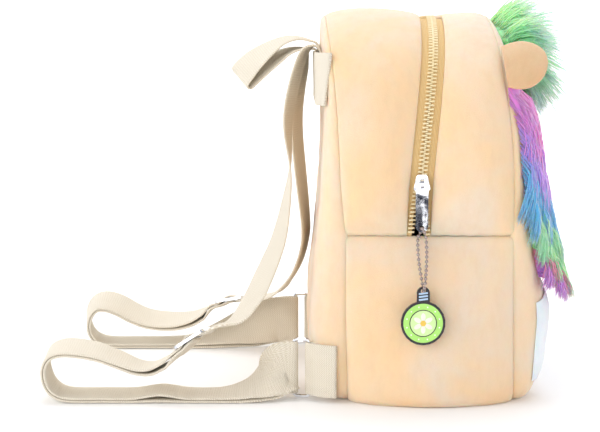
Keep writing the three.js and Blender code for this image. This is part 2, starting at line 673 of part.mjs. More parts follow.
// Ball chain: one closed loop through both eyelets, swept with the radius of its beads and wire.
function chainGeometry() {
  const points = chainRoute.map((row) => new THREE.Vector3(row.across, -row.outward, -row.down));
  const route = new THREE.CatmullRomCurve3(points, true, "centripetal");
  const beads = Math.round(route.getLength() / beadPitch);
  const pitch = route.getLength() / beads;
  const beadRadius = beadDiameter / 2;
  const profile = [
    { at: -0.5 * pitch, radius: wireDiameter / 2 },
    { at: -0.5 * beadRadius, radius: beadRadius * 0.95 },
    { at: 0.5 * beadRadius, radius: beadRadius * 0.95 },
  ];
  const rings = [];
  for (let bead = 0; bead < beads; bead++) {
    for (const { at, radius } of profile) {
      const share = THREE.MathUtils.clamp((bead + 0.5 + at / pitch) / beads, 0, 1);
      const centre = route.getPointAt(share);
      const tangent = route.getTangentAt(share);
      const u = new THREE.Vector3(1, 0, 0).projectOnPlane(tangent).normalize();
      const v = tangent.clone().cross(u);
      rings.push(Array.from({ length: 10 }, (_, k) => {
        const angle = (k / 10) * 2 * Math.PI;
        return centre.clone().addScaledVector(u, radius * Math.cos(angle)).addScaledVector(v, radius * Math.sin(angle));
      }));
    }
  }
  return closedBody(rings, true);
}
addPiece(zipDrop, "ball_chain", chainGeometry(), chrome);

// Charm: a round enamelled disc with a neck that carries the chain.
const charmOut = gussetDepth * 0.172 + bagWidth / 2 + charmThickness / 2 + 0.8 - hingeOut;
function charmGeometry() {
  const radius = charmDiameter / 2;
  const neck = charmNeckWidth / 2;
  const neckAngle = Math.acos(neck / radius);
  const shape = new THREE.Shape();
  shape.absarc(0, 0, radius, Math.PI - neckAngle, 2 * Math.PI + neckAngle, false);
  shape.lineTo(neck, radius + charmNeckLength - neck);
  shape.absarc(0, radius + charmNeckLength - neck, neck, 0, Math.PI, false);
  shape.closePath();
  const eyelet = new THREE.Shape();
  eyelet.absarc(0, radius + charmNeckLength - eyeletInset, eyeletDiameter / 2, 0, 2 * Math.PI, false);
  return standing(pierced(shape, [eyelet], charmThickness, 10));
}
addPiece(zipDrop, "charm", charmGeometry(), enamel).position.set(0, -charmOut, -charmDrop);

// Webbing: every ribbon is swept from stations with a centre, the unit vector across it and its normal.
function ribbonRing({ centre, across, normal }) {
  const corner = (a, n) => centre.clone()
    .addScaledVector(across, (a * webbingWidth) / 2)
    .addScaledVector(normal, (n * webbingThickness) / 2);
  return [corner(-1, -1), corner(1, -1), corner(1, 1), corner(-1, 1)];
}
const ribbon = (stations) => closedBody(stations.map(ribbonRing));

// Frames along a run of centres. With roll 0 the webbing lies level across, and its normal points
// out of the loop: away from the back on the way down and up on the way back.
function framed(centres, rolls) {
  const curve = new THREE.CatmullRomCurve3(centres, false, "centripetal");
  return centres.map((centre, k) => {
    const tangent = curve.getTangent(k / (centres.length - 1));
    const level = new THREE.Vector3(0, 1, 0).projectOnPlane(tangent).normalize();
    const out = level.clone().cross(tangent).normalize();
    const roll = THREE.MathUtils.degToRad(rolls[k]);
    const across = level.clone().multiplyScalar(Math.cos(roll)).addScaledVector(out, Math.sin(roll));
    const normal = out.clone().multiplyScalar(Math.cos(roll)).addScaledVector(level, -Math.sin(roll));
    return { centre, across, normal, tangent };
  });
}

const outerLayer = (station, distance) => ({
  ...station,
  centre: station.centre.clone().addScaledVector(station.normal, distance),
});
const innerLayer = (station, distance) => ({
  ...station,
  centre: station.centre.clone().addScaledVector(station.normal, -distance),
  normal: station.normal.clone().negate(),
});

// Rows between the table's rows, so that a bend is round.
function refined(rows, columns, steps) {
  const fine = [];
  for (let k = 0; k < (rows.length - 1) * steps + 1; k++) {
    const row = {};
    const table = rows.map((r, i) => ({ ...r, at: i }));
    for (const column of columns) row[column] = read(table, column, k / steps);
    fine.push(row);
  }
  return fine;
}

// The band across the back: it stands clear of the ends of the straps and of the loop under it.
const bandLow = bandHeight - webbingWidth / 2;
const bandHigh = bandHeight + webbingWidth / 2;
const bandLift = 2 * webbingThickness + 3 * seamGap;
function outlineHalfWidth(z) {
  const above = z - (bagHeight - topCornerRadius);
  if (above <= 0) return bagWidth / 2;
  return bagWidth / 2 - topCornerRadius + Math.sqrt(topCornerRadius ** 2 - above ** 2);
}
function backBand() {
  const columns = 18;
  const rows = [bandLow, bandHeight, bandHigh];
  const edgeInset = 1.2;
  const edgeLift = 2 * seamGap;
  const rings = [];
  for (let k = 0; k <= columns; k++) {
    const share = Math.sin((k / columns - 0.5) * Math.PI);
    const lift = edgeLift + (bandLift - edgeLift) * THREE.MathUtils.smoothstep(1 - Math.abs(share), 0.03, 0.3);
    const under = rows.map((z) => panelPoint("back", share * (outlineHalfWidth(z) - edgeInset), z, lift).point);
    const over = rows.map((z) =>
      panelPoint("back", share * (outlineHalfWidth(z) - edgeInset), z, lift + webbingThickness).point);
    rings.push([...under, ...over.reverse()]);
  }
  return closedBody(rings);
}
addPiece(backpack, "back_band", backBand(), webbing);

// Hanging loop: both ends go up under the band, and the layers part so that a hand can take it.
function haulLoop() {
  const rootX = panelX("back", 0, bandHigh);
  const rows = refined(haulTable, ["out", "drop", "side", "roll", "spread"], 2);
  const middle = seamGap * 1.5 + webbingThickness;
  const centres = [
    panelPoint("back", 0, bandLow + webbingWidth * 0.4, middle).point,
    panelPoint("back", 0, bandHigh + 1, middle).point,
    ...rows.map((r) => new THREE.Vector3(rootX - haulReach * r.out - middle, r.side * webbingWidth,
      bandHigh - r.drop * haulReach)),
  ];
  const stations = framed(centres, [0, 0, ...rows.map((r) => r.roll)]);
  const halfPart = [0, 0, ...rows.map((r) => r.spread * webbingWidth / 2)];
  const offset = (k) => webbingThickness / 2 + seamGap / 2 + halfPart[k];
  return ribbon([
    ...stations.map((s, k) => outerLayer(s, offset(k))),
    ...foldRound(stations.at(-1), offset(stations.length - 1)),
    ...stations.map((s, k) => innerLayer(s, offset(k))).reverse(),
  ]);
}
// Half a turn of webbing beyond a station, from its outer layer to its inner one.
function foldRound(station, radius) {
  return [30, 60, 90, 120, 150].map((degrees) => {
    const angle = THREE.MathUtils.degToRad(degrees);
    const normal = station.normal.clone().multiplyScalar(Math.cos(angle))
      .addScaledVector(station.tangent, Math.sin(angle));
    return {
      across: station.across,
      normal,
      centre: station.centre.clone().addScaledVector(normal, radius),
    };
  });
}
addPiece(backpack, "haul_loop", haulLoop(), webbing);

// Rings and side tabs. The ring's long bars stand upright: the tab folds round one, the strap round the other.
const ringInner = webbingWidth + 1;
const ringHeight = ringInner + 2 * ringWire;
const ringMiddleZ = ringHeight / 2 + 0.4;
const tabFold = ringWire / 2 + seamGap + webbingThickness / 2;
const tabShares = [0.997, 0.985, 0.96, 0.93];
const tabReach = 7;

function sideSurface(share) {
  const heights = [-0.5, 0, 0.5].map((side) => ringMiddleZ + side * webbingWidth);
  const x = Math.min(...heights.map((z) => bodyAt("rear", z) - bodyAt("backSwell", z) * domeFullness(share)));
  return new THREE.Vector3(x, (-share * bagWidth) / 2, ringMiddleZ);
}
function tabLine() {
  const clear = seamGap * 2 + webbingThickness;
  const points = tabShares.map((share) => {
    const before = sideSurface(share + 0.002);
    const after = sideSurface(share - 0.004);
    const tangent = after.sub(before).normalize();
    const outward = new THREE.Vector3(0, 0, 1).cross(tangent).negate();
    if (outward.y > 0) outward.negate();
    return { point: sideSurface(share).addScaledVector(outward, clear), tangent };
  });
  const last = points.at(-1);
  const bar = last.point.clone().addScaledVector(last.tangent, tabReach);
  return { points: points.map((p) => p.point), bar, tangent: last.tangent };
}
const tabRun = tabLine();

function mirrored(v, side) {
  return side === "near" ? v.clone() : new THREE.Vector3(v.x, -v.y, v.z);
}

function sideTab(side) {
  const up = new THREE.Vector3(0, 0, 1);
  const line = [...tabRun.points, tabRun.bar].map((p) => mirrored(p, side));
  const curve = new THREE.CatmullRomCurve3(line);
  const stations = line.map((centre, k) => {
    const tangent = curve.getTangent(k / (line.length - 1));
    return { centre, across: up, tangent, normal: up.clone().cross(tangent).normalize() };
  });
  const closeLayers = webbingThickness / 2 + seamGap / 2;
  const offset = (k) => (k === line.length - 1 ? tabFold : closeLayers);
  return ribbon([
    ...stations.map((s, k) => outerLayer(s, offset(k))),
    ...foldRound(stations.at(-1), tabFold),
    ...stations.map((s, k) => innerLayer(s, offset(k))).reverse(),
  ]);
}

const ringAcross = ringWidth - ringWire;
const ringTurn = Math.atan2(0.25, -1);
const ringDirection = new THREE.Vector3(Math.cos(ringTurn), Math.sin(ringTurn), 0);
const strapBar = tabRun.bar.clone().addScaledVector(ringDirection, ringAcross);

// A row of the straps' tables: out is beyond the ring's outer bar.
function strapPlace(row, side) {
  const way = side === "near" ? -1 : 1;
  return new THREE.Vector3(strapBar.x - strapReach * row.out, way * row.side * bagWidth / 2, strapTop * row.up);
}

function ringGeometry(side) {
  const centre = mirrored(tabRun.bar.clone().add(strapBar).multiplyScalar(0.5), side);
  const along = mirrored(ringDirection, side);
  const halfAcross = ringAcross / 2;
  const halfHeight = (ringInner + ringWire) / 2;
  const bend = 2.5;
  const outline = new THREE.Path();
  outline.moveTo(halfAcross - bend, -halfHeight);
  outline.absarc(halfAcross - bend, -halfHeight + bend, bend, -Math.PI / 2, 0, false);
  outline.absarc(halfAcross - bend, halfHeight - bend, bend, 0, Math.PI / 2, false);
  outline.absarc(-halfAcross + bend, halfHeight - bend, bend, Math.PI / 2, Math.PI, false);
  outline.absarc(-halfAcross + bend, -halfHeight + bend, bend, Math.PI, 1.5 * Math.PI, false);
  const flat = outline.getPoints(2);
  const rings = [];
  flat.slice(0, -1).forEach((p, k, all) => {
    const before = all[(k - 1 + all.length) % all.length];
    const after = all[(k + 1) % all.length];
    const tangent = after.clone().sub(before).normalize();
    const place = (a, b) => centre.clone().addScaledVector(along, a).add(new THREE.Vector3(0, 0, b));
    const outwards = place(tangent.y, -tangent.x).sub(centre);
    const sideways = along.clone().cross(new THREE.Vector3(0, 0, 1));
    if (p.distanceTo(before) < 1e-6) return;
    rings.push(Array.from({ length: 6 }, (_, i) => {
      const angle = (i / 6) * 2 * Math.PI;
      return place(p.x, p.y)
        .addScaledVector(outwards, (ringWire / 2) * Math.cos(angle))
        .addScaledVector(sideways, (ringWire / 2) * Math.sin(angle));
    }));
  });
  return closedBody(rings, true);
}

// Adjuster: a stamped frame with three bars across the strap.
function triglideFrame(side) {
  const row = triglideTable[side];
  const centre = strapPlace(row, side);
  const pitch = THREE.MathUtils.degToRad(row.pitch);
  const tangent = new THREE.Vector3(-Math.cos(pitch), 0, -Math.sin(pitch));
  const level = new THREE.Vector3(0, 1, 0);
  const out = level.clone().cross(tangent);
  const roll = THREE.MathUtils.degToRad(row.roll);
  const across = level.clone().multiplyScalar(Math.cos(roll)).addScaledVector(out, Math.sin(roll));
  const normal = out.clone().multiplyScalar(Math.cos(roll)).addScaledVector(level, -Math.sin(roll));
  return { centre, tangent, across, normal };
}

function triglideGeometry(side) {
  const frame = triglideFrame(side);
  const halfLength = triglideLength / 2;
  const slotHalf = webbingWidth / 2 + 1;
  const halfWidth = slotHalf + triglideBar;
  const bend = 3;
  const shape = new THREE.Shape();
  shape.moveTo(-halfLength + bend, -halfWidth);
  shape.absarc(halfLength - bend, -halfWidth + bend, bend, -Math.PI / 2, 0, false);
  shape.absarc(halfLength - bend, halfWidth - bend, bend, 0, Math.PI / 2, false);
  shape.absarc(-halfLength + bend, halfWidth - bend, bend, Math.PI / 2, Math.PI, false);
  shape.absarc(-halfLength + bend, -halfWidth + bend, bend, Math.PI, 1.5 * Math.PI, false);
  const slots = [-1, 1].map((way) => {
    const near = way * triglideBar / 2;
    const far = way * (halfLength - triglideBar);
    const slot = new THREE.Shape();
    slot.moveTo(near, -slotHalf);
    slot.lineTo(near, slotHalf);
    slot.lineTo(far, slotHalf);
    slot.lineTo(far, -slotHalf);
    return slot;
  });
  const geometry = pierced(shape, slots, triglideThickness, 3);
  geometry.applyMatrix4(new THREE.Matrix4().makeBasis(frame.tangent, frame.across, frame.normal));
  geometry.translate(...frame.centre.toArray());
  return facedOutwards(geometry);
}

// How the strap weaves through the adjuster: along and above are from the adjuster's centre, in
// shares of half its length and of the webbing's thickness.
const weaveRows = [
  { along: -1.35, above: -1.32 },
  { along: -1.04, above: -1.32 },
  { along: -0.8, above: -1.32 },
  { along: -0.46, above: 0 },
  { along: -0.13, above: 1.32 },
  { along: 0.13, above: 1.32 },
  { along: 0.46, above: 0 },
  { along: 0.8, above: -1.32 },
  { along: 1.04, above: -1.32 },
  { along: 1.3, above: -1.5 },
];
const returnRows = [
  { along: 1.28, above: -2.9 },
  { along: 1, above: -2.6 },
  { along: 0.6, above: -2.3 },
  { along: 0.2, above: -1.4 },
  { along: -0.16, above: -1.36 },
];

function runStations(frame, rows) {
  const centres = rows.map((r) => frame.centre.clone()
    .addScaledVector(frame.tangent, (r.along * triglideLength) / 2)
    .addScaledVector(frame.normal, r.above * webbingThickness));
  return centres.map((centre, k) => {
    const before = centres[Math.max(k - 1, 0)];
    const after = centres[Math.min(k + 1, centres.length - 1)];
    const tangent = after.clone().sub(before).normalize();
    return { centre, tangent, across: frame.across, normal: frame.across.clone().cross(tangent).normalize() };
  });
}

// Raises a station until neither layer is below the floor.
function settled(station, halfStack) {
  const low = station.centre.z - Math.abs(station.across.z) * webbingWidth / 2 -
    Math.abs(station.normal.z) * halfStack;
  const centre = station.centre.clone();
  if (low < 0) centre.z -= low;
  return { ...station, centre };
}
// Stands the webbing upright where it meets the ring's bar.
function uprightStation(station, away) {
  const tangent = away.clone().negate();
  const across = new THREE.Vector3(0, 0, Math.sign(station.across.z));
  return { ...station, tangent, across, normal: across.clone().cross(tangent).normalize() };
}
const strapStraight = 6;
const strapDirection = new THREE.Vector3(-1, 0.12, 0).normalize();

function shoulderStrap(side) {
  const way = side === "near" ? -1 : 1;
  const place = (r) => strapPlace(r, side);
  const frame = triglideFrame(side);
  const upperRows = refined(strapTables[side], ["out", "side", "up", "roll"], 1);
  const rootSide = way * strapTables[side][0].side * bagWidth / 2;
  const rootLift = seamGap + webbingThickness / 2;
  const roots = [bandLow + webbingWidth * 0.4, bandHigh + 1].map((z) => panelPoint("back", rootSide, z, rootLift).point);
  const upper = framed([...roots, ...upperRows.map(place)], [0, 0, ...upperRows.map((r) => r.roll)]);

  const floorRest = webbingThickness * 1.1 + seamGap;
  const loopRows = refined(loopTables[side], ["out", "side", "up", "roll", "part"], 2);
  const loopCentres = loopRows.map((r) => place(r).add(new THREE.Vector3(0, 0, floorRest)));
  const halfGap = (k) => (k < loopRows.length
    ? webbingThickness / 2 + (loopRows[k].part * webbingThickness) / 2
    : tabFold);
  const bar = mirrored(strapBar, side);
  const approach = bar.clone().addScaledVector(mirrored(strapDirection, side), strapStraight);
  const run = framed([...loopCentres, approach, bar], [...loopRows.map((r) => r.roll), -90, -90]);
  const onFloor = run.slice(0, loopRows.length).map((s, k) => settled(s, halfGap(k) + webbingThickness / 2));
  const loop = [...onFloor, ...run.slice(loopRows.length).map((s) => uprightStation(s, mirrored(strapDirection, side)))];
  return ribbon([
    ...upper,
    ...runStations(frame, weaveRows),
    ...loop.map((s, k) => outerLayer(s, halfGap(k))),
    ...foldRound(loop.at(-1), tabFold),
    ...loop.map((s, k) => innerLayer(s, halfGap(k))).reverse(),
    ...runStations(frame, returnRows),
  ]);
}

for (const side of ["near", "far"]) {
  addPiece(backpack, "tab_" + side, sideTab(side), webbing);
  addPiece(backpack, "ring_" + side, ringGeometry(side), chrome);
  addPiece(backpack, "triglide_" + side, triglideGeometry(side), chrome);
  addPiece(backpack, "strap_" + side, shoulderStrap(side), webbing);
}

// Ears: rounded plush pads on the front seam at each upper corner, cupped forward.
const earAngle = THREE.MathUtils.degToRad(31);
const earFlare = THREE.MathUtils.degToRad(14);
function ear(side) {
  const way = side === "near" ? -1 : 1;
  const cornerY = bagWidth / 2 - topCornerRadius;
  const cornerZ = bagHeight - topCornerRadius;
  const outward = new THREE.Vector3(0, way * Math.cos(earAngle), Math.sin(earAngle));
  const across = new THREE.Vector3(0, -way * Math.sin(earAngle), Math.cos(earAngle));
  const rootZ = cornerZ + topCornerRadius * Math.sin(earAngle);
  const rootY = way * (cornerY + topCornerRadius * Math.cos(earAngle));
  const root = new THREE.Vector3(bodyAt("front", rootZ) + seamGap, rootY, rootZ)
    .addScaledVector(outward, earThickness * 0.36);
  const forward = new THREE.Vector3(Math.cos(earFlare), 0, 0).addScaledVector(outward, Math.sin(earFlare));
  const shares = [
    { at: 0, wide: 0.86, thick: 0.7 },
    { at: 0.2, wide: 0.97, thick: 0.95 },
    { at: 0.45, wide: 1, thick: 1 },
    { at: 0.7, wide: 0.86, thick: 0.9 },
    { at: 0.88, wide: 0.6, thick: 0.68 },
    { at: 0.97, wide: 0.3, thick: 0.4 },
  ];
  const lean = (bodyAt("front", rootZ + 5) - bodyAt("front", rootZ - 5)) / 10;
  const rings = shares.map(({ at, wide, thick }) => {
    const centre = root.clone().addScaledVector(forward, earLength * at);
    return Array.from({ length: 12 }, (_, k) => {
      const angle = (k / 12) * 2 * Math.PI;
      const along = (earWidth / 2) * wide * Math.cos(angle);
      const cup = 0.004 * along * along * at;
      return centre.clone()
        .addScaledVector(across, along)
        .add(new THREE.Vector3((1 - at) * along * across.z * lean, 0, 0))
        .addScaledVector(outward, (earThickness / 2) * thick * Math.sin(angle) - cup);
    });
  });
  rings.push([root.clone().addScaledVector(forward, earLength)]);
  return closedBody(rings);
}
addPiece(backpack, "ear_near", ear("near"), earPlush);
addPiece(backpack, "ear_far", ear("far"), earPlush);

// A layer of even thickness on the front panel between four edges, given as functions of a share.
function frontLayer(columns, rows, placeAt, lift, thickness) {
  const rings = [];
  for (let k = 0; k <= columns; k++) {
    const under = [];
    const over = [];
    for (let j = 0; j <= rows; j++) {
      const { y, z } = placeAt(k / columns, j / rows);
      under.push(panelPoint("front", y, z, lift).point);
      over.push(panelPoint("front", y, z, lift + thickness).point);
    }
    rings.push([...under, ...over.reverse()]);
  }
  return closedBody(rings);
}

// One lock: a tapered tuft that leaves the backing, rises a little, reaches forward and falls.
const frontLift = 3 * seamGap;
function lock(row, way, size) {
  const y = way * row.side * bagWidth / 2;
  const z = row.up * bagHeight;
  const { point, normal } = panelPoint("front", y, z, frontLift + maneBacking / 2);
  const sway = way * row.sway * bagWidth / 2;
  const drop = row.drop * bagHeight;
  const at = (out, up, drift) => new THREE.Vector3(
    panelX("front", y, z + Math.min(0, up)) + row.reach * size * out, y + sway * drift, z + up);
  const curve = new THREE.CatmullRomCurve3([
    point,
    point.clone().addScaledVector(normal, maneBacking),
    at(0.55, row.rise * size, 0.15),
    at(1, row.rise * size * 0.4 - drop * 0.08, 0.4),
    at(0.45 + 0.5 * row.tip, -drop * 0.5, 0.8),
    at(row.tip, -drop, 1),
  ], false, "centripetal");
  const halfWidth = row.width * bagWidth / 2;
  const rings = lockShares.map((s, i) => {
    const centre = curve.getPointAt(s.at);
    const tangent = i === 0 ? normal : curve.getTangentAt(s.at);
    const across = new THREE.Vector3(0, 1, 0).projectOnPlane(tangent).normalize();
    const thick = across.clone().cross(tangent);
    return Array.from({ length: 5 }, (_, k) => {
      const angle = (k / 5 + 0.25) * 2 * Math.PI;
      return centre.clone()
        .addScaledVector(across, halfWidth * s.wide * Math.cos(angle))
        .addScaledVector(thick, halfWidth * s.thick * Math.sin(angle));
    });
  });
  return closedBody([...rings, [curve.getPointAt(1)]]);
}
const lockShares = [
  { at: 0, wide: 0.75, thick: 0.55 },
  { at: 0.22, wide: 0.95, thick: 0.55 },
  { at: 0.45, wide: 1, thick: 0.55 },
  { at: 0.7, wide: 0.85, thick: 0.42 },
  { at: 0.9, wide: 0.45, thick: 0.25 },
];

const topBacking = frontLayer(8, 1, (u, v) => {
  const share = -1 + 2 * u;
  return { y: share * 0.6 * bagWidth / 2, z: bagHeight * (0.875 + v * (0.095 - 0.04 * share * share)) };
}, frontLift, maneBacking);
addPiece(backpack, "mane_top", fused([topBacking, ...topLocks.map((row) => lock(row, 1, maneReach))]), greenPile);

for (const [side, way] of [["near", -1], ["far", 1]]) {
  const backing = frontLayer(2, 6, (u, v) => {
    const z = bagHeight * (0.81 - 0.43 * v);
    return { y: way * (0.6 + 0.04 * v + (0.26 - 0.04 * v) * u) * bagWidth / 2, z };
  }, frontLift, maneBacking);
  addPiece(backpack, "mane_" + side,
    fused([backing, ...sideLocks.map((row) => lock(row, way, maneReach))]), mixedPile);
}

// Plain front of the face: a pale muzzle low on the panel and two shanked eyes.
addPiece(backpack, "muzzle", frontLayer(12, 4, (u, v) => {
  const share = Math.sin((u - 0.5) * Math.PI);
  const top = bagHeight * (0.26 + 0.07 * (1 - share * share));
  const low = bagHeight * (0.05 + 0.03 * share * share);
  return { y: share * 0.78 * bagWidth / 2, z: low + v * (top - low) };
}, frontLift, muzzleThickness), whitePlush);

for (const [side, way] of [["near", -1], ["far", 1]]) {
  const { point, normal } = panelPoint("front", way * 0.3 * bagWidth / 2, bagHeight * 0.48, 2 * seamGap);
  const radius = eyeDiameter / 2;
  const profile = [new THREE.Vector2(0, 0), new THREE.Vector2(radius * 0.96, 0)];
  for (let k = 0; k <= 4; k++) {
    const angle = (k / 4) * (Math.PI / 2);
    profile.push(new THREE.Vector2(radius * Math.cos(angle), 0.8 + (eyeHeight - 0.8) * Math.sin(angle)));
  }
  profile[profile.length - 1].x = 0;
  const eye = addPiece(backpack, "eye_" + side, new THREE.LatheGeometry(profile, 12), glossPlastic);
  eye.position.copy(point);
  eye.quaternion.setFromUnitVectors(new THREE.Vector3(0, 1, 0), normal);
}

export default backpack;
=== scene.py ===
# A child's small plush backpack with ears and a rainbow mane, seen from its side.
# Lengths are in millimetres until a mesh is made. +X is the front, -Y the near side, +Z up.
import math

import bmesh
import bpy
import numpy as np
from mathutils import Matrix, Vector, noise


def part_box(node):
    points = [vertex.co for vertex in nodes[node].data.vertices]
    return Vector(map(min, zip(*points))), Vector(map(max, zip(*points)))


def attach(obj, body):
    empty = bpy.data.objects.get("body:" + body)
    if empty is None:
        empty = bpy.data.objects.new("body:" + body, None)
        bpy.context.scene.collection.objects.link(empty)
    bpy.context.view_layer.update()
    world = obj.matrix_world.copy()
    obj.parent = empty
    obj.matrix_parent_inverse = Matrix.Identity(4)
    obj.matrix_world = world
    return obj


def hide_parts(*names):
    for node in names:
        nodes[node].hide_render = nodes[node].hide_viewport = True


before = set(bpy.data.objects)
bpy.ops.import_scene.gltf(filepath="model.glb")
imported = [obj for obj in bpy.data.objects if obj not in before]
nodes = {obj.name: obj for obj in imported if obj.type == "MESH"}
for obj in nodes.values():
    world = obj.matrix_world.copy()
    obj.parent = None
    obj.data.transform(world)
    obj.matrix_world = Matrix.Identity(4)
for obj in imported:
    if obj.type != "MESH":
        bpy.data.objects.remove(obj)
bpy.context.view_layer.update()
MM = 0.001


def linear(hex_colour):
    """sRGB hex to linear RGBA."""
    parts = [int(hex_colour[i:i + 2], 16) / 255 for i in (1, 3, 5)]
    return [p / 12.92 if p <= 0.04045 else ((p + 0.055) / 1.055) ** 2.4 for p in parts] + [1.0]


# The photograph's view: a long lens a little above the bag's middle, looking slightly down at its side.
camera_place = (-0.087, -1.186, 0.24627)
camera_pitch = 90 - 6.305
camera_data = bpy.data.cameras.new("side_camera")
camera_data.lens = 96.66
camera_data.sensor_width = 36
camera_data.clip_start = 0.05
camera_data.clip_end = 20
camera = bpy.data.objects.new("side_camera", camera_data)
camera.location = camera_place
camera.rotation_euler = (math.radians(camera_pitch), 0, 0)
bpy.context.scene.collection.objects.link(camera)
bpy.context.scene.camera = camera


def add(tree, kind, inputs=None, **settings):
    """Adds one node; an input is given a number or colour, or is linked to another node's output."""
    node = tree.nodes.new("ShaderNode" + kind)
    for name, value in settings.items():
        setattr(node, name, value)
    for name, value in (inputs or {}).items():
        if isinstance(value, bpy.types.NodeSocket):
            tree.links.new(value, node.inputs[name])
        else:
            node.inputs[name].default_value = value
    return node


def mixed(tree, share, low, high):
    """A colour between two at a share; each of them is sRGB hex or another node's output."""
    low, high = (linear(c) if isinstance(c, str) else c for c in (low, high))
    return add(tree, "Mix", {0: share, 6: low, 7: high}, data_type="RGBA").outputs[2]


def calculated(tree, operation, *values):
    """The value of one sum on numbers and other nodes' outputs."""
    return add(tree, "Math", dict(enumerate(values)), operation=operation).outputs["Value"]


def new_material(name):
    """A material with its tree emptied but for the surface shader and the output."""
    material = bpy.data.materials.new(name)
    material.use_nodes = True
    tree = material.node_tree
    return material, tree, tree.nodes["Principled BSDF"]


def set_shader(tree, shader, **values):
    """Numbers and colours go on the shader's own sockets, and another node's output is linked."""
    for name, value in values.items():
        socket = shader.inputs[name.replace("_", " ")]
        if isinstance(value, bpy.types.NodeSocket):
            tree.links.new(value, socket)
        else:
            socket.default_value = value


def mesh_object(name, points, faces, material, uv=None, smooth=True):
    """An object from points in millimetres and faces; uv is one pair for each point."""
    mesh = bpy.data.meshes.new(name)
    mesh.from_pydata((np.asarray(points, float) * MM).tolist(), [], faces)
    mesh.materials.append(material)
    if smooth:
        mesh.polygons.foreach_set("use_smooth", [True] * len(mesh.polygons))
    if uv is not None:
        corners = np.zeros(len(mesh.loops), np.int32)
        mesh.loops.foreach_get("vertex_index", corners)
        layer = mesh.uv_layers.new(name="cloth")
        layer.data.foreach_set("uv", np.asarray(uv, float)[corners].ravel())
    mesh.update()
    made = bpy.data.objects.new(name, mesh)
    bpy.context.scene.collection.objects.link(made)
    return made


# The studio: a pale paper sweep under and behind the bag, a soft even sky and four soft lamps.
# The paper is matt and nearly white, so that only the shadows beside the bag are seen on it.
paper, paper_tree, paper_shader = new_material("matt_white_paper")
paper_grain = add(paper_tree, "TexNoise", {"Scale": 900.0, "Detail": 2.0})
paper_bump = add(paper_tree, "Bump", {
    "Strength": 0.04, "Distance": 0.0002, "Height": paper_grain.outputs["Fac"]})
set_shader(paper_tree, paper_shader, Base_Color=linear("#F5F5F5"), Roughness=0.9,
           Normal=paper_bump.outputs["Normal"])
paper_shader.inputs["Emission Color"].default_value = (1, 1, 1, 1)
# The paper is lit more strongly from behind the object on, as a backdrop is.
paper_place = add(paper_tree, "SeparateXYZ", {"Vector": add(paper_tree, "TexCoord").outputs["Object"]})
paper_glow = add(paper_tree, "MapRange", {
    "Value": paper_place.outputs["Y"], "From Min": 0.15, "From Max": 1.6, "To Min": 0.06, "To Max": 0.7})
paper_tree.links.new(paper_glow.outputs["Result"], paper_shader.inputs["Emission Strength"])

sweep_front = -5200
sweep_back = 1500
sweep_radius = 900
sweep_half_width = 7000
sweep_line = [(sweep_front, 0), (sweep_back, 0)]
for step in range(1, 25):
    turn = math.radians(90 * step / 24)
    sweep_line.append((sweep_back + sweep_radius * math.sin(turn), sweep_radius * (1 - math.cos(turn))))
sweep_line.append((sweep_back + sweep_radius, 4000))
sweep_points = [(side * sweep_half_width, y, z - 0.2) for y, z in sweep_line for side in (-1, 1)]
sweep_faces = [(2 * i, 2 * i + 1, 2 * i + 3, 2 * i + 2) for i in range(len(sweep_line) - 1)]
sweep = mesh_object("paper_sweep", sweep_points, sweep_faces, paper)

world = bpy.data.worlds.new("soft_sky")
world.use_nodes = True
world.node_tree.nodes["Background"].inputs["Color"].default_value = linear("#FBFCFF")
world.node_tree.nodes["Background"].inputs["Strength"].default_value = 0.47
bpy.context.scene.world = world
bpy.context.scene.view_settings.view_transform = "Standard"


def soft_lamp(name, place, aim, size, power, tint):
    """A rectangular lamp at a place in metres, turned towards its aim."""
    data = bpy.data.lights.new(name, "AREA")
    data.shape = "RECTANGLE"
    data.size, data.size_y = size
    data.energy = power
    data.color = linear(tint)[:3]
    lamp = bpy.data.objects.new(name, data)
    lamp.location = place
    way = np.array(place) - np.array(aim)
    yaw = math.atan2(way[0], -way[1])
    lamp.rotation_euler = (math.atan2(math.hypot(way[0], way[1]), way[2]), 0, yaw)
    bpy.context.scene.collection.objects.link(lamp)


soft_lamp("top_softbox", (0.1, 0.3, 1.7), (-0.03, -0.05, 0.1), (1.4, 1.0), 14, "#FFFFFF")
soft_lamp("camera_softbox", (-0.9, -2.0, 0.9), (0, 0, 0.12), (1.2, 1.2), 13, "#FFFAF4")
soft_lamp("front_softbox", (1.7, -0.9, 0.8), (0.05, 0, 0.12), (1.0, 1.2), 7, "#F4F6FF")
soft_lamp("strap_softbox", (-1.7, -0.7, 0.9), (-0.15, 0, 0.12), (1.0, 1.2), 12, "#FFFFFF")


# The bag's body is padded plush: a front and a back panel joined by a gusset.
# The same few sizes and tables as the model's give each piece its place; every piece is sewn to the next
# with its edge turned in, so the cloth swells between the seams.
bag_width = 224.0
bag_height = 262.0
gusset_depth = 114.0
top_corner_radius = 75.0
bottom_corner_radius = 14.0
padding = 5.0
seam_gap = 0.3
split_height = 114.0
dome_centre_height = 118.0
seam_share = 0.435

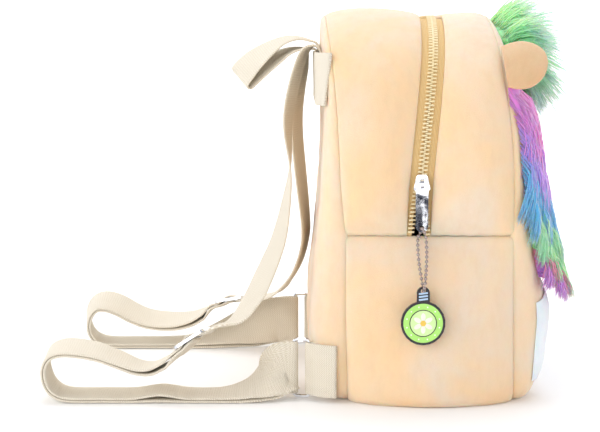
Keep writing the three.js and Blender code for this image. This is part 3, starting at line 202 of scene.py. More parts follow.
# Lean and swell of the body: at is a share of the height, the rest are shares of the gusset's depth.
body_table = {
    "at": [0, 0.14, 0.23, 0.32, 0.43, 0.55, 0.68, 0.8, 0.91, 1],
    "rear": [-0.482, -0.49, -0.495, -0.497, -0.499, -0.524, -0.54, -0.558, -0.585, -0.612],
    "zip": [-0.064, -0.064, -0.064, -0.064, -0.063, -0.052, -0.026, 0.002, 0.028, 0.04],
    "front": [0.513, 0.507, 0.503, 0.5, 0.5, 0.499, 0.484, 0.45, 0.42, 0.378],
    "back_swell": [0.19, 0.225, 0.212, 0.19, 0.163, 0.117, 0.085, 0.066, 0.05, 0.035],
    "front_swell": [0.17, 0.215, 0.24, 0.2, 0.14, 0.1, 0.09, 0.085, 0.07, 0.05],
}
crown_table = {
    "at": [0, 0.05, 0.12, 0.22, 0.3, 0.38, seam_share, 0.48, 0.6, 0.8, 1],
    "crown": [0.17, 0.175, 0.165, 0.14, 0.115, 0.065, 0.012, 0.05, 0.078, 0.07, 0.055],
}


def reading(table, column, share):
    """Smooth reading of one column of a table at a share along it."""
    at = np.asarray(table["at"], float)
    value = np.asarray(table[column], float)
    share = np.clip(np.asarray(share, float), at[0], at[-1])
    i = np.clip(np.searchsorted(at, share), 1, len(at) - 1)
    before = np.maximum(i - 2, 0)
    after = np.minimum(i + 1, len(at) - 1)
    span = at[i] - at[i - 1]
    t = (share - at[i - 1]) / span
    slope_a = (value[i] - value[before]) / (at[i] - at[before]) * span
    slope_b = (value[after] - value[i - 1]) / (at[after] - at[i - 1]) * span
    rise = value[i] - value[i - 1]
    bend = 3 * rise - 2 * slope_a - slope_b
    return value[i - 1] + t * slope_a + t ** 2 * bend + t ** 3 * (slope_a + slope_b - 2 * rise)


def body_at(column, z):
    return gusset_depth * reading(body_table, column, np.asarray(z) / bag_height)


def crown_at(z):
    low = seam_share * z / split_height
    high = seam_share + (1 - seam_share) * (z - split_height) / (bag_height - split_height)
    return gusset_depth * reading(crown_table, "crown", np.where(z < split_height, low, high))


def half_outline(spacing):
    """Stations from the bottom's middle up the far side to the top's middle: y, z and the outward normal."""
    half = bag_width / 2
    runs = []

    def straight(a, b, normal):
        count = max(2, int(math.dist(a, b) / spacing))
        for k in range(count):
            t = k / count
            runs.append((a[0] + (b[0] - a[0]) * t, a[1] + (b[1] - a[1]) * t, *normal))

    def corner(y, z, radius, start):
        count = max(6, int(radius * math.pi / 2 / spacing))
        for k in range(count):
            turn = start + k / count * math.pi / 2
            normal = (math.cos(turn), math.sin(turn))
            runs.append((y + radius * normal[0], z + radius * normal[1], *normal))

    straight((0, 0), (half - bottom_corner_radius, 0), (0, -1))
    corner(half - bottom_corner_radius, bottom_corner_radius, bottom_corner_radius, -math.pi / 2)
    straight((half, bottom_corner_radius), (half, split_height), (1, 0))
    straight((half, split_height), (half, bag_height - top_corner_radius), (1, 0))
    corner(half - top_corner_radius, bag_height - top_corner_radius, top_corner_radius, 0)
    straight((half - top_corner_radius, bag_height), (0, bag_height), (0, 1))
    runs.append((0, bag_height, 0, 1))
    return np.array(runs)


far_half = half_outline(2.5)
near_half = far_half * [-1, 1, -1, 1]
split_station = int(np.argmin(np.abs(far_half[:, 1] - split_height) + 1000 * (far_half[:, 2] < 0.999)))
whole_loop = np.vstack([far_half, near_half[1:-1][::-1]])
upper_path = np.vstack([far_half[split_station:], near_half[split_station:-1][::-1]])
lower_path = np.vstack([near_half[1:split_station + 1][::-1], far_half[:split_station + 1]])


def on_stations(path, x, offset):
    """Points at each station of a path, moved outwards and kept on or above the floor."""
    y = path[:, 0] + path[:, 2] * offset
    z = path[:, 1] + path[:, 3] * offset
    return np.stack([x + 0 * y, y, np.maximum(z, 0)], axis=-1)


def run_lengths(path):
    steps = np.linalg.norm(np.diff(path[:, :2], axis=0), axis=1)
    return np.concatenate([[0], np.cumsum(steps)])


def cloth_wander(points, size, depth, seed):
    """Slow unevenness of a stuffed piece: a height for each point, from noise of that size."""
    scaled = np.asarray(points).reshape(-1, 3) / size + seed
    heights = [noise.noise(p) for p in scaled.tolist()]
    return depth * np.array(heights).reshape(np.asarray(points).shape[:-1])


def loft(rings, looped=False):
    """Points and faces of one closed body from rings of equal count; a looped one has no end faces."""
    rows, columns = len(rings), len(rings[0])
    points = np.asarray(rings, float).reshape(-1, 3)
    faces = []
    for i in range(rows if looped else rows - 1):
        j = (i + 1) % rows
        for k in range(columns):
            m = (k + 1) % columns
            faces.append((i * columns + k, i * columns + m, j * columns + m, j * columns + k))
    if not looped:
        faces.append(tuple(range(columns))[::-1])
        faces.append(tuple((rows - 1) * columns + k for k in range(columns)))
    return points, faces


def turned_outwards(made):
    """Faces a closed mesh outwards."""
    bm = bmesh.new()
    bm.from_mesh(made.data)
    bmesh.ops.recalc_face_normals(bm, faces=bm.faces)
    bm.to_mesh(made.data)
    bm.free()


# Velboa plush: a knitted polyester with a short, dense, brushed pile of about 1.5 mm.
# The pile gives soft patches where it is brushed two ways, and a pale bloom at grazing angles.
def plush_material(name, warm, pale, shade, bloom):
    material, tree, shader = new_material(name)
    place = add(tree, "TexCoord").outputs["Object"]
    patches = add(tree, "TexNoise", {
        "Vector": place, "Scale": 1000 / 75, "Detail": 3.0, "Roughness": 0.55, "Distortion": 0.6})
    ramp = add(tree, "ValToRGB", {"Fac": patches.outputs["Fac"]})
    ramp.color_ramp.elements[0].position = 0.36
    ramp.color_ramp.elements[0].color = linear(warm)
    ramp.color_ramp.elements[1].position = 0.64
    ramp.color_ramp.elements[1].color = linear(pale)
    strokes_place = add(tree, "Mapping", {"Vector": place, "Scale": (1, 1, 0.45)}).outputs["Vector"]
    strokes = add(tree, "TexNoise", {
        "Vector": strokes_place, "Scale": 1000 / 7, "Detail": 4.0, "Roughness": 0.6})
    stroke_share = add(tree, "MapRange", {
        "Value": strokes.outputs["Fac"], "From Min": 0.45, "From Max": 0.75, "To Max": 0.3})
    brushed = mixed(tree, stroke_share.outputs["Result"], ramp.outputs["Color"], shade)
    # Single fibres are 0.02 mm thick; the grain is drawn at 0.7 mm so that it shows.
    fibre = add(tree, "TexNoise", {"Vector": place, "Scale": 1000 / 0.7, "Detail": 2.0, "Roughness": 0.7})
    fibre_share = add(tree, "MapRange", {
        "Value": fibre.outputs["Fac"], "From Min": 0.35, "From Max": 0.7, "To Max": 0.14})
    flecked = mixed(tree, fibre_share.outputs["Result"], brushed, shade)
    pile_height = calculated(tree, "ADD", strokes.outputs["Fac"], fibre.outputs["Fac"])
    bump = add(tree, "Bump", {"Strength": 0.35, "Distance": 0.0006, "Height": pile_height})
    set_shader(tree, shader, Base_Color=flecked, Roughness=0.95, Normal=bump.outputs["Normal"])
    shader.inputs["Specular IOR Level"].default_value = 0.15
    shader.inputs["Sheen Weight"].default_value = 0.45
    shader.inputs["Sheen Roughness"].default_value = 0.45
    shader.inputs["Sheen Tint"].default_value = linear(bloom)
    # Light passes a little way through the pile, so that seams aren't black.
    shader.inputs["Subsurface Weight"].default_value = 0.35
    shader.inputs["Subsurface Scale"].default_value = 0.006
    return material


peach_plush = plush_material("peach_velboa_plush", "#F6D5AB", "#ECDAC4", "#E2C39C", "#F4EEF4")

dome_flatness = 8
dome_shoulder = 0.385
panel_columns = {"back": ("rear", "back_swell", -1), "front": ("front", "front_swell", 1)}


def dome_fullness(share):
    return np.maximum(0, 1 - np.asarray(share, float) ** dome_flatness) ** dome_shoulder


def seam_pucker(along, distance, depth, period, seed):
    """Small gathers that the stitching pulls into the cloth, fading away from the seam."""
    wave = np.sin(2 * math.pi * along / period + 1.7 * np.sin(along / 23.0 + seed))
    return depth * wave * np.exp(-distance / 6.0)


def panel_rings(face):
    column, swell, way = panel_columns[face]
    lengths = run_lengths(whole_loop)
    radius = np.hypot(whole_loop[:, 0], whole_loop[:, 1] - dome_centre_height)
    steps = np.linspace(0, 1, 42)[1:]
    shares = 1 - (1 - steps) ** 2.1
    rings = []
    for share in shares:
        y = whole_loop[:, 0] * share
        z = dome_centre_height + (whole_loop[:, 1] - dome_centre_height) * share
        fullness = dome_fullness(share)
        x = body_at(column, z) + way * body_at(swell, z) * fullness
        points = np.stack([x, y, z], axis=-1)
        wander = cloth_wander(points, 34, 1.5, 3.1 if way > 0 else 9.4) + cloth_wander(points, 13, 0.4, 5.2)
        seam = (1 - share) * radius
        gathers = seam_pucker(lengths, seam, 0.5, 11, way) * (1 - share ** 60)
        x = x + way * (wander * min(1, fullness * 1.1) * (share > 0.02) * min(1, seam.min() / 6) + gathers)
        rings.append(np.stack([x, y, z], axis=-1))
    for share in (1, 0.85, 0.3):
        y = (whole_loop[:, 0] - whole_loop[:, 2] * padding) * share
        z = dome_centre_height + (whole_loop[:, 1] - whole_loop[:, 3] * padding - dome_centre_height) * share
        x = body_at(column, z) + way * (body_at(swell, z) * dome_fullness(share) - padding)
        rings.append(np.stack([x, y, z], axis=-1))
    return rings


for face in ("back", "front"):
    panel = mesh_object(face + "_panel_plush", *loft(panel_rings(face)), peach_plush)
    turned_outwards(panel)
    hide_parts(face + "_panel")
    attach(panel, "bag")


# The gusset: two strips beside the zipper and one band below the cross seams, all of the same plush.
# Each is cut, padded and sewn edge to edge, so it swells between its seams and is pinched at them.
tape_show = 8.0
tape_half_width = 13.0
zip_edge_thickness = 2.0
mitre_gap = seam_gap * 1.5


def rear_seam(z):
    return body_at("rear", z) + mitre_gap


def front_seam(z):
    return body_at("front", z) - mitre_gap


def zip_middle(z):
    return body_at("zip", z)


def band_rings(path, start_edge, end_edge, start_is_seam, end_is_seam, top_crown, seed):
    """Closed cross sections of a band of the gusset, one for each station of the path."""
    z = path[:, 1]
    start = start_edge(z)
    end = end_edge(z)
    near_top = np.clip((z / bag_height - 0.82) / 0.16, 0, 1)
    crown = crown_at(z) * (1 + (top_crown - 1) * near_top)
    lengths = run_lengths(path)
    from_ends = np.minimum(lengths, lengths[-1] - lengths)
    tucked = 2.2 * np.exp(-from_ends / 1.6) + 0.5 * np.exp(-from_ends / 8)
    across = np.linspace(0, 1, 31)
    across = 0.5 - 0.5 * np.cos(math.pi * across)
    section = []
    for u in across:
        x = start + u * (end - start)
        lift = crown * np.sin(math.pi * u) ** 0.6
        points = on_stations(path, x, lift)
        width = end - start
        distance = np.minimum(u, 1 - u) * width
        held = np.sin(math.pi * u) ** 0.5 if 0 < u < 1 else 0
        wander = (cloth_wander(points, 38, 1.3, seed) - 0.3 + cloth_wander(points, 14, 0.45, seed + 3)) * held
        gathers = seam_pucker(lengths, distance, 0.45, 9.5, seed + u) * held
        ends = seam_pucker(x, from_ends, 0.5, 12, seed) * held
        section.append(on_stations(path, x, lift + wander + gathers + ends - tucked))
    for edge, is_seam, inwards in ((end_edge, end_is_seam, -1), (start_edge, start_is_seam, 1)):
        if is_seam:
            inner_z = np.maximum(0, z - path[:, 3] * padding)
            section.append(on_stations(path, edge(inner_z) + inwards * padding, -padding))
            continue
        inner_z = z - path[:, 3] * zip_edge_thickness
        lap = tape_half_width - tape_show + seam_gap
        pair = [
            on_stations(path, edge(inner_z), -zip_edge_thickness),
            on_stations(path, edge(inner_z) + inwards * lap, -zip_edge_thickness),
        ]
        section += pair if inwards < 0 else pair[::-1]
    return np.stack(section, axis=1)


def ends_pulled_in(path, amount):
    path = path.copy()
    path[0, 1] += amount
    path[-1, 1] += amount
    return path


bands = [
    ("gusset_rear", upper_path, rear_seam, lambda z: zip_middle(z) - tape_show, True, False, 0.95, 1.3),
    ("gusset_front", upper_path, lambda z: zip_middle(z) + tape_show, front_seam, False, True, 0.45, 4.9),
    ("gusset_lower", ends_pulled_in(lower_path, -seam_gap), rear_seam, front_seam, True, True, 1, 7.7),
]
for name, path, start_edge, end_edge, start_is_seam, end_is_seam, top_crown, seed in bands:
    rings = band_rings(path, start_edge, end_edge, start_is_seam, end_is_seam, top_crown, seed)
    band = mesh_object(name + "_plush", *loft(rings), peach_plush)
    turned_outwards(band)
    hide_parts(name)
    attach(band, "bag")


# The zipper: two woven polyester tapes sewn under the strips, with moulded teeth on their inner edges.
# Above the slider the teeth mesh; below it, on the near side, the two halves stand apart.
zip_tape_thickness = 0.8
tape_cord = 0.35
tooth_pitch = 2.7
tooth_reach = 3.1
tooth_width = 1.45
tooth_thickness = 2.3
slider_height = 149.5
slider_length = 12.0
open_zip_gap = 4.5
tape_top = -zip_edge_thickness - seam_gap


def zip_opening(y, z):
    """How far each half of the zipper stands from the middle: 0 but below the slider on the near side."""
    top = slider_height + slider_length / 2
    share = np.clip((top - z) / (top - split_height), 0, 1)
    return np.where(y > 0, 0, open_zip_gap * share ** 0.6)


def tape_material():
    material, tree, shader = new_material("woven_polyester_zip_tape")
    uv = add(tree, "UVMap", uv_map="cloth").outputs["UV"]
    parts = add(tree, "SeparateXYZ", {"Vector": uv})
    # The tape's cords run along it, 1 mm apart, and its weft crosses them every 0.8 mm.
    cord_spacing = 1.0
    weft_spacing = 0.8
    cords = calculated(tree, "MULTIPLY", parts.outputs["X"], 2 * math.pi / cord_spacing)
    cord_wave = calculated(tree, "SINE", cords)
    wefts = calculated(tree, "MULTIPLY", parts.outputs["Y"], 2 * math.pi / weft_spacing)
    weft_wave = calculated(tree, "SINE", wefts)
    height = calculated(tree, "ADD", cord_wave, calculated(tree, "MULTIPLY", cord_wave, weft_wave))
    share = add(tree, "MapRange", {"Value": height, "From Min": -1.5, "From Max": 1.5})
    thread = mixed(tree, share.outputs["Result"], "#E8C07A", "#FFE4AC")
    bump = add(tree, "Bump", {"Strength": 0.5, "Distance": 0.0003, "Height": height})
    set_shader(tree, shader, Base_Color=thread, Roughness=0.75, Normal=bump.outputs["Normal"])
    shader.inputs["Sheen Weight"].default_value = 0.15
    return material


def teeth_material():
    # Acetal is moulded smooth: a waxy, half glossy plastic.
    material, tree, shader = new_material("moulded_acetal_teeth")
    place = add(tree, "TexCoord").outputs["Object"]
    mottle = add(tree, "TexNoise", {"Vector": place, "Scale": 1000 / 6, "Detail": 2.0})
    tint = mixed(tree, mottle.outputs["Fac"], "#EBD39B", "#F6E9C6")
    set_shader(tree, shader, Base_Color=tint, Roughness=0.35, IOR=1.48)
    return material


zip_tape = tape_material()
acetal = teeth_material()
for name, way in (("rear", -1), ("front", 1)):
    path = upper_path
    z = path[:, 1]
    opening = zip_opening(path[:, 0], z)
    lengths = run_lengths(path)
    inner = zip_middle(z) + way * (seam_gap + opening)
    outer = zip_middle(z) + way * tape_half_width
    sections = []
    uv = []
    # The inner edge has a raised cord along it.
    tape_section = [
        (0, -zip_tape_thickness), (0, tape_cord), (0.14, tape_cord), (0.2, 0), (0.6, 0), (1, 0),
        (1, -zip_tape_thickness),
    ]
    for share, offset in tape_section:
        x = inner + share * (outer - inner)
        sections.append(on_stations(path, x, tape_top + offset))
        uv.append(np.stack([np.full(len(z), share * tape_half_width + offset), lengths], axis=-1))
    tape = mesh_object("zip_tape_" + name + "_woven", *loft(np.stack(sections, axis=1)), zip_tape,
                       uv=np.stack(uv, axis=1).reshape(-1, 2))
    turned_outwards(tape)
    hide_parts("zip_tape_" + name)
    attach(tape, "bag")

    # One tooth: a foot on the tape, a waist and a rounded head that reaches past the middle.
    along = np.arange(2, lengths[-1] - 1, tooth_pitch) + (0 if way < 0 else tooth_pitch / 2)
    # Rows: its size, and its height as a share of its thickness.
    tooth_rows = [(0.8, 0), (1, 0.5), (0.95, 0.85), (0.72, 1)]
    points = []
    faces = []
    base = tape_top + seam_gap
    stations = np.array([[np.interp(a, lengths, path[:, c]) for c in range(4)] for a in along])
    for y, z, ny, nz in stations:
        gap = float(zip_opening(y, z))
        middle = float(zip_middle(z)) + way * (seam_gap / 2 + gap)
        lean = float(zip_middle(z + 1) - zip_middle(z - 1)) / 2
        run = np.array([lean * abs(ny), -nz, ny]) if ny >= 0 else np.array([lean * abs(ny), nz, -ny])
        run = run / np.linalg.norm(run)
        out = np.array([0, ny, nz])
        first = len(points)
        for size, rise in tooth_rows:
            for a, b in ((0, -1), (1, -1), (1, 1), (0, 1)):
                narrow = 0.8 if a else 1.0
                # The foot lies back on the tape. The head reaches past the middle, further in the open part.
                if a == 0:
                    inwards = tooth_reach - (1 - size) * 1.2
                else:
                    inwards = (1 - size) * 0.8 - (1.3 if gap > 0.3 else 0.9)
                centre = np.array([middle + way * inwards, y, z]) + out * (base + rise * tooth_thickness)
                points.append(centre + run * (b * tooth_width / 2 * size * narrow))
        for r in range(len(tooth_rows) - 1):
            for k in range(4):
                m = (k + 1) % 4
                row = first + 4 * r
                faces.append((row + k, row + m, row + 4 + m, row + 4 + k))
        faces.append(tuple(first + k for k in (3, 2, 1, 0)))
        faces.append(tuple(first + 4 * (len(tooth_rows) - 1) + k for k in range(4)))
    teeth = mesh_object("zip_teeth_" + name + "_moulded", points, faces, acetal, smooth=False)
    turned_outwards(teeth)
    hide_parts("zip_teeth_" + name)
    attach(teeth, "bag")


# Slider and pull: zinc, die cast, polished and nickel plated, which gives a bright mirror with soft marks.
# The rings and strap adjusters have the same plating on steel wire and stamped zinc.
def nickel_material(name, tint, roughness):
    material, tree, shader = new_material(name)
    place = add(tree, "TexCoord").outputs["Object"]
    marks = add(tree, "TexNoise", {"Vector": place, "Scale": 1000 / 1.2, "Detail": 4.0})
    gloss = add(tree, "MapRange", {
        "Value": marks.outputs["Fac"], "To Min": roughness * 0.6, "To Max": roughness * 1.6})
    waves = add(tree, "TexNoise", {"Vector": place, "Scale": 1000 / 9, "Detail": 1.0})
    bump = add(tree, "Bump", {"Strength": 0.25, "Distance": 0.0008, "Height": waves.outputs["Fac"]})
    set_shader(tree, shader, Base_Color=linear(tint), Metallic=1.0, Roughness=gloss.outputs["Result"],
               Normal=bump.outputs["Normal"])
    return material


nickel = nickel_material("nickel_plated_zinc", "#E6E8EE", 0.07)
dull_nickel = nickel_material("nickel_plated_brass_beads", "#A89B98", 0.28)


def rounded_node(name, material, edge_radius, angle):
    """A node of the frame kept as it is, with its sharp edges eased."""
    kept = nodes[name]
    kept.data.materials.clear()
    kept.data.materials.append(material)
    bevel = kept.modifiers.new("eased_edges", "BEVEL")
    bevel.width = edge_radius * MM
    bevel.segments = 2
    bevel.limit_method = "ANGLE"
    bevel.angle_limit = math.radians(angle)
    bevel.harden_normals = False


for name in ("zip_slider", "zip_pull"):
    rounded_node(name, nickel, 0.35, 40)

# Dark cards that are seen only in reflections, with a white board behind them, so that metal isn't all grey.
card_material, card_tree, card_shader = new_material("navy_felt_card")
set_shader(card_tree, card_shader, Base_Color=linear("#0B0F24"), Roughness=1.0)
card_grain = add(card_tree, "TexNoise", {"Scale": 60.0})
card_bump = add(card_tree, "Bump", {"Strength": 0.1, "Height": card_grain.outputs["Fac"]})
card_tree.links.new(card_bump.outputs["Normal"], card_shader.inputs["Normal"])
board_material, board_tree, board_shader = new_material("white_board")
board_grain = add(board_tree, "TexNoise", {"Scale": 40.0})
board_tint = mixed(board_tree, board_grain.outputs["Fac"], "#F4F4F4", "#FFFFFF")
set_shader(board_tree, board_shader, Base_Color=board_tint, Roughness=0.9)
board_shader.inputs["Emission Color"].default_value = (1, 1, 1, 1)
board_shader.inputs["Emission Strength"].default_value = 0.9
# Each card: its left, right, lower and upper edge, its place across the room, and its material.
card_y = -750
cards = [
    ("navy_card_0", -500, 56, 57, 84, card_y, card_material),
    ("navy_card_1", 62, 400, 57, 84, card_y, card_material),
    ("navy_card_2", -500, 50, -40, 57, card_y, card_material),
    ("navy_card_3", 66, 400, -40, 57, card_y, card_material),
    ("white_board", -500, 400, -40, 300, card_y - 10, board_material),
]
for name, left, right, low, high, y, material in cards:
    corners = [(left, y, low), (right, y, low), (right, y, high), (left, y, high)]
    card = mesh_object(name, corners, [(0, 1, 2, 3)], material)
    card.visible_camera = False
    card.visible_diffuse = False
    card.visible_shadow = False
    card.visible_transmission = False


# Ball chain: one closed loop of brass beads on short wires, nickel plated, through both eyelets.
chain_bead = 2.4
chain_pitch = 3.3
chain_wire = 0.8
hinge_x = float(zip_middle(slider_height))
hinge_out = 116.004
# Few chosen points of the loop: across, outward and down from the hinge.
chain_route = [
    (0, 0, 29.7), (0.5, 2.4, 30.3), (2.1, 3.4, 33.4), (2.9, 5.2, 42), (2.3, 12, 55),
    (1, 19.8, 64), (0.4, 20.3, 67.6), (0.2, 17.6, 69.3), (0, 14.7, 67.6), (-0.8, 13.4, 62.6),
    (-2.4, 8.4, 51), (-2.9, 3.4, 40.4), (-2.4, 0.6, 35.6), (-1, -1.6, 33.2), (-0.3, -2.3, 30.4),
]


def spline(points, closed, per_span):
    """Centripetal Catmull-Rom through the points, with per_span points in each span."""
    points = np.asarray(points, float)
    count = len(points)
    spans = count if closed else count - 1
    out = []
    for i in range(spans):
        if closed:
            p0, p1, p2, p3 = (points[(i + k) % count] for k in (-1, 0, 1, 2))
        else:
            p1, p2 = points[i], points[i + 1]
            p0 = points[i - 1] if i > 0 else 2 * p1 - p2
            p3 = points[i + 2] if i + 2 < count else 2 * p2 - p1
        t0 = 0
        t1 = t0 + max(1e-6, np.linalg.norm(p1 - p0)) ** 0.5
        t2 = t1 + max(1e-6, np.linalg.norm(p2 - p1)) ** 0.5
        t3 = t2 + max(1e-6, np.linalg.norm(p3 - p2)) ** 0.5
        for k in range(per_span):
            t = t1 + (t2 - t1) * k / per_span
            a1 = (t1 - t) / (t1 - t0) * p0 + (t - t0) / (t1 - t0) * p1
            a2 = (t2 - t) / (t2 - t1) * p1 + (t - t1) / (t2 - t1) * p2
            a3 = (t3 - t) / (t3 - t2) * p2 + (t - t2) / (t3 - t2) * p3
            b1 = (t2 - t) / (t2 - t0) * a1 + (t - t0) / (t2 - t0) * a2
            b2 = (t3 - t) / (t3 - t1) * a2 + (t - t1) / (t3 - t1) * a3
            out.append((t2 - t) / (t2 - t1) * b1 + (t - t1) / (t2 - t1) * b2)
    if not closed:
        out.append(points[-1])
    return np.array(out)


def evenly(points, closed, count):
    """That many points at even distances along a line of points."""
    points = np.asarray(points)
    if closed:
        points = np.vstack([points, points[:1]])
    lengths = np.concatenate([[0], np.cumsum(np.linalg.norm(np.diff(points, axis=0), axis=1))])
    wanted = np.linspace(0, lengths[-1], count + 1)[:-1] if closed else np.linspace(0, lengths[-1], count)
    return np.stack([np.interp(wanted, lengths, points[:, c]) for c in range(3)], axis=-1), lengths[-1]


route_points = [(hinge_x + a, -hinge_out - o, slider_height - d) for a, o, d in chain_route]
fine_route = spline(route_points, True, 24)
route_length = evenly(fine_route, True, 10)[1]
beads = round(route_length / chain_pitch)
# The bare wire between two beads, as a share of the pitch on each bead's side.
chain_bare = 0.11
profile = [(-0.5, chain_wire / 2), (-0.5 + chain_bare, chain_wire / 2)]
for step in range(9):
    turn = math.pi * (step + 0.5) / 9
    radius = max(chain_wire / 2, chain_bead / 2 * math.sin(turn))
    profile.append((-math.cos(turn) * chain_bead / 2 / chain_pitch, radius))
profile.append((0.5 - chain_bare, chain_wire / 2))
ring_shares = [(bead + 0.5 + at, radius) for bead in range(beads) for at, radius in profile]
route_steps = 4000
centres, _ = evenly(fine_route, True, route_steps)
chain_rings = []
for share, radius in ring_shares:
    k = int(round(share / beads * route_steps)) % route_steps
    centre = centres[k]
    tangent = centres[(k + 8) % route_steps] - centres[(k - 8) % route_steps]
    tangent = tangent / np.linalg.norm(tangent)
    side = np.array([1.0, 0, 0]) - tangent * tangent[0]
    side = side / np.linalg.norm(side)
    up = np.cross(tangent, side)
    turns = np.linspace(0, 2 * math.pi, 13)[:-1]
    chain_rings.append([centre + radius * (side * math.cos(t) + up * math.sin(t)) for t in turns])
chain = mesh_object("ball_chain_beads", *loft(chain_rings, looped=True), dull_nickel)
turned_outwards(chain)
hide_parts("ball_chain")
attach(chain, "zip_drop")


# Charm: a stamped disc with a blackened rim, filled with soft enamel, in a plain design of a daisy and dots.
# Soft enamel is glossy and lies a little below the metal lines between the colours.
def enamel_material(name, tint, deep):
    material, tree, shader = new_material(name)
    place = add(tree, "TexCoord").outputs["Object"]
    cloud = add(tree, "TexNoise", {"Vector": place, "Scale": 1000 / 9, "Detail": 2.0})
    colour = mixed(tree, cloud.outputs["Fac"], tint, deep)
    ripple = add(tree, "Bump", {"Strength": 0.08, "Distance": 0.0004, "Height": cloud.outputs["Fac"]})
    set_shader(tree, shader, Base_Color=colour, Roughness=0.22, IOR=1.5, Normal=ripple.outputs["Normal"])
    shader.inputs["Coat Weight"].default_value = 0.3
    return material


black_metal = enamel_material("blackened_metal", "#17141A", "#221D26")
lime_enamel = enamel_material("lime_soft_enamel", "#B9F27C", "#A4E46A")
pale_enamel = enamel_material("pale_lime_enamel", "#DDF9B4", "#CDF3A0")
white_enamel = enamel_material("white_enamel", "#F8F6EE", "#ECE9DC")
yolk_enamel = enamel_material("yellow_enamel", "#F3CF5A", "#E8BC41")
blue_enamel = enamel_material("pale_blue_enamel", "#BCD6EE", "#A4C3E2")

rounded_node("charm", black_metal, 0.3, 40)
charm_low, charm_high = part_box("charm")
charm_x = (charm_low.x + charm_high.x) / 2 / MM
charm_face = charm_low.y / MM
charm_radius = 14.8
charm_z = charm_low.z / MM + charm_radius


def filled(outline, out, rise):
    """A flat plate on the charm's face from an outline in millimetres round its centre."""
    outline = np.asarray(outline, float)
    count = len(outline)
    rows = ((1.0, 0.15), (1.0, -rise * 0.7), (0.97, -rise))
    middle = outline.mean(axis=0)
    points = []
    for shrink, depth in rows:
        for x, z in middle + (outline - middle) * shrink:
            points.append((charm_x + x, charm_face - out + depth, charm_z + z))
    faces = [tuple(range(count))]
    for r in range(2):
        for k in range(count):
            m = (k + 1) % count
            faces.append((r * count + k, (r + 1) * count + k, (r + 1) * count + m, r * count + m))
    faces.append(tuple(2 * count + k for k in range(count))[::-1])
    return points, faces


def circle(x, z, radius, count=40):
    return [(x + radius * math.cos(2 * math.pi * k / count), z + radius * math.sin(2 * math.pi * k / count))
            for k in range(count)]


def add_charm_fill(name, outlines, out, rise, material):
    points = []
    faces = []
    for outline in outlines:
        more_points, more_faces = filled(outline, out, rise)
        faces += [tuple(i + len(points) for i in face) for face in more_faces]
        points += more_points
    made = mesh_object(name, points, faces, material, smooth=False)
    turned_outwards(made)
    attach(made, "zip_drop")


charm_rim = 1.7
middle_radius = 8.5
line_width = 0.6
flower_eye_radius = 1.9
dot_circle_radius = 11.1
dot_radius = 0.55
add_charm_fill("charm_ground_enamel", [circle(0, 0, charm_radius - charm_rim, 56)], 0, 0.2, lime_enamel)
add_charm_fill("charm_line", [circle(0, 0, middle_radius + line_width, 48)], 0.2, 0.14, black_metal)
add_charm_fill("charm_middle_enamel", [circle(0, 0, middle_radius, 48)], 0.34, 0.1, pale_enamel)
petals = []
for k in range(6):
    turn = 2 * math.pi * k / 6 + math.pi / 2
    petal = []
    for step in range(20):
        t = 2 * math.pi * step / 20
        along = 4.2 + 2.7 * math.cos(t)
        side = 1.55 * math.sin(t)
        x = along * math.cos(turn) - side * math.sin(turn)
        z = along * math.sin(turn) + side * math.cos(turn)
        petal.append((x, z))
    petals.append(petal)
add_charm_fill("charm_petals", petals, 0.44, 0.12, white_enamel)
add_charm_fill("charm_flower_eye", [circle(0, 0, flower_eye_radius, 24)], 0.52, 0.14, yolk_enamel)
dots = []
for turn in np.radians(np.arange(15, 360, 30)):
    dots.append(circle(dot_circle_radius * math.cos(turn), dot_circle_radius * math.sin(turn), dot_radius, 12))
add_charm_fill("charm_dots", dots, 0.2, 0.12, white_enamel)
stripes = []
for k in range(3):
    low = charm_radius + 0.2 + 2.0 * k
    stripes.append([(-3.0, low), (3.0, low + 0.7), (3.0, low + 1.9), (-3.0, low + 1.2)])
add_charm_fill("charm_neck_stripes", stripes, 0, 0.2, blue_enamel)


# Webbing: 36 mm herringbone cotton, undyed. One cut makes the band, the loop, the tabs and each strap.
# The twill's lines lean one way and then the other, and its threads are 1.5 mm apart.
webbing_width = 36.0
webbing_thickness = 1.6


def webbing_material():
    material, tree, shader = new_material("herringbone_cotton_webbing")
    uv = add(tree, "UVMap", uv_map="cloth").outputs["UV"]
    parts = add(tree, "SeparateXYZ", {"Vector": uv})
    rib = 4.5
    thread = 1.5
    weft = 1.7
    zigzag = calculated(tree, "PINGPONG", parts.outputs["X"], rib)
    run = calculated(tree, "ADD", parts.outputs["Y"], zigzag)
    twill = calculated(tree, "SINE", calculated(tree, "MULTIPLY", run, 2 * math.pi / thread))
    weft_turns = calculated(tree, "MULTIPLY", parts.outputs["Y"], 2 * math.pi / weft)
    weft_wave = calculated(tree, "MULTIPLY", calculated(tree, "SINE", weft_turns), 0.35)
    height = calculated(tree, "ADD", twill, weft_wave)
    share = add(tree, "MapRange", {"Value": height, "From Min": -1.3, "From Max": 1.2})
    place = add(tree, "TexCoord").outputs["Object"]
    slubs = add(tree, "TexNoise", {"Vector": place, "Scale": 1000 / 14, "Detail": 4.0, "Roughness": 0.6})
    light = mixed(tree, slubs.outputs["Fac"], "#FFF9EC", "#F8EFDF")
    colour = mixed(tree, share.outputs["Result"], "#E0D5BE", light)
    bump = add(tree, "Bump", {"Strength": 0.55, "Distance": 0.0005, "Height": height})
    set_shader(tree, shader, Base_Color=colour, Roughness=0.88, Normal=bump.outputs["Normal"])
    shader.inputs["Specular IOR Level"].default_value = 0.2
    shader.inputs["Sheen Weight"].default_value = 0.2
    return material


cotton_webbing = webbing_material()


def unit(v):
    return np.asarray(v, float) / np.linalg.norm(v)


